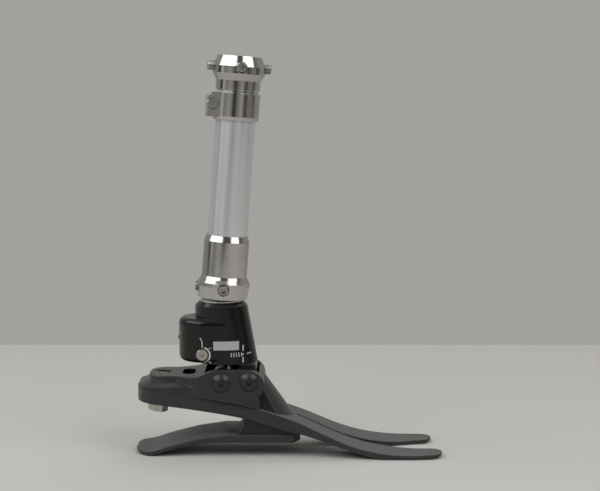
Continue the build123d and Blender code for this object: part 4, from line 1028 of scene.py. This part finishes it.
# %% Marks on the housing
VALVE_ARC_RADIUS = 0.0058
VALVE_ARC_WIDTH = 0.0012
VALVE_ARC_ENDS = (72, -80)
MINUS_PLACE = (0.0060, 0.0052)
MINUS_REACH = 0.001
MINUS_WIDTH = 0.0005
DOT_PLACE = (0.0057, -0.0057)
DOT_RADIUS = 0.0010
LEADER = ((-0.0015, 0.0129), (-0.0005, 0.0114), (-0.00005, 0.0099), (0.0002, 0.0054))
LEADER_WIDTH = 0.0007
CROSS_AHEAD = 0.0303
CROSS_ARMS = ((0.0026, 0.0070), (-0.0062, -0.0020))
CROSS_WIDTH = 0.0009
CROSS_DOT_RADIUS = 0.0006
LONG_TICK = ((0.0028, 0.0001), (0.0057, 0.0006))
LONG_TICK_WIDTH = 0.0008
TICK_COUNT = 5
FIRST_TICK_BACK = 0.0087
LABEL_AHEAD = 0.0179
LABEL_RISE = 0.0069
LABEL_SIZE = (0.0190, 0.0066)
LABEL_POINTS = (21, 7)


def valve_marks(dial):
    """The arc round a valve with its minus, its dot and the line that leads to it."""
    x, z = dial
    leader = [(x + a, z + b) for a, b in LEADER]
    minus = (x + MINUS_PLACE[0], z + MINUS_PLACE[1])
    return [
        arc(dial, VALVE_ARC_RADIUS, *VALVE_ARC_ENDS, VALVE_ARC_WIDTH),
        strip(leader, LEADER_WIDTH),
        bar((minus[0] - MINUS_REACH, minus[1]), (minus[0] + MINUS_REACH, minus[1]), MINUS_WIDTH),
        dot((x + DOT_PLACE[0], z + DOT_PLACE[1]), DOT_RADIUS),
    ]


def cross_marks(dial):
    """The upright arms of the cross with a dot between them, and one longer tick ahead of it."""
    x, z = dial[0] + CROSS_AHEAD, dial[1]
    shapes = [bar((x, z + low), (x, z + high), CROSS_WIDTH) for low, high in CROSS_ARMS]
    shapes.append(dot((x, z), CROSS_DOT_RADIUS))
    start, end = [(x + a, z + b) for a, b in LONG_TICK]
    shapes.append(bar(start, end, LONG_TICK_WIDTH))
    return shapes


def label_shape(dial):
    """A grid that fills the blank label, ahead of a valve and above it."""
    x, z = dial[0] + LABEL_AHEAD, dial[1] + LABEL_RISE
    width, height = LABEL_SIZE
    columns, lines = LABEL_POINTS
    return rows_to_faces([
        [(x + u * width / 2, z + v * height / 2) for u in np.linspace(-1, 1, columns)]
        for v in np.linspace(-1, 1, lines)
    ])


def valve_centre(name):
    place = joints[name]["pos_m"]
    return place[0], place[2]


def print_marks(name, shapes, side, ticks, first_tick, material):
    values = {
        "Wall": frame["nodes"]["ankle_body"],
        "Side": side,
        "Tick count": ticks,
        "First tick": first_tick,
        "Material": material,
    }
    marks = grow(name, drawing(name, shapes, side), ink_tree, values)
    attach(marks, "shank")
    print(name, "has", len(marks.data.polygons), "faces")


near_dial = valve_centre("plantarflexion_valve_turn")
far_dial = valve_centre("dorsiflexion_valve_turn")
first_tick = (near_dial[0] + CROSS_AHEAD - FIRST_TICK_BACK, -DRAWING_DISTANCE, near_dial[1])
near_shapes = valve_marks(near_dial) + cross_marks(near_dial)
print_marks("near_marks", near_shapes, -1.0, TICK_COUNT, first_tick, INK)
print_marks("far_marks", valve_marks(far_dial), 1.0, 0, (0.0, DRAWING_DISTANCE, 0.0), INK)
print_marks("blank_label", [label_shape(near_dial)], -1.0, 0, (0.0, -DRAWING_DISTANCE, 0.0), FILM)

# %% Compare both boxes
dressed_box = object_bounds()
change = max(abs(a - b) for c, d in zip(cad_box, dressed_box) for a, b in zip(c, d))
print("largest change", round(change, 6), "m")
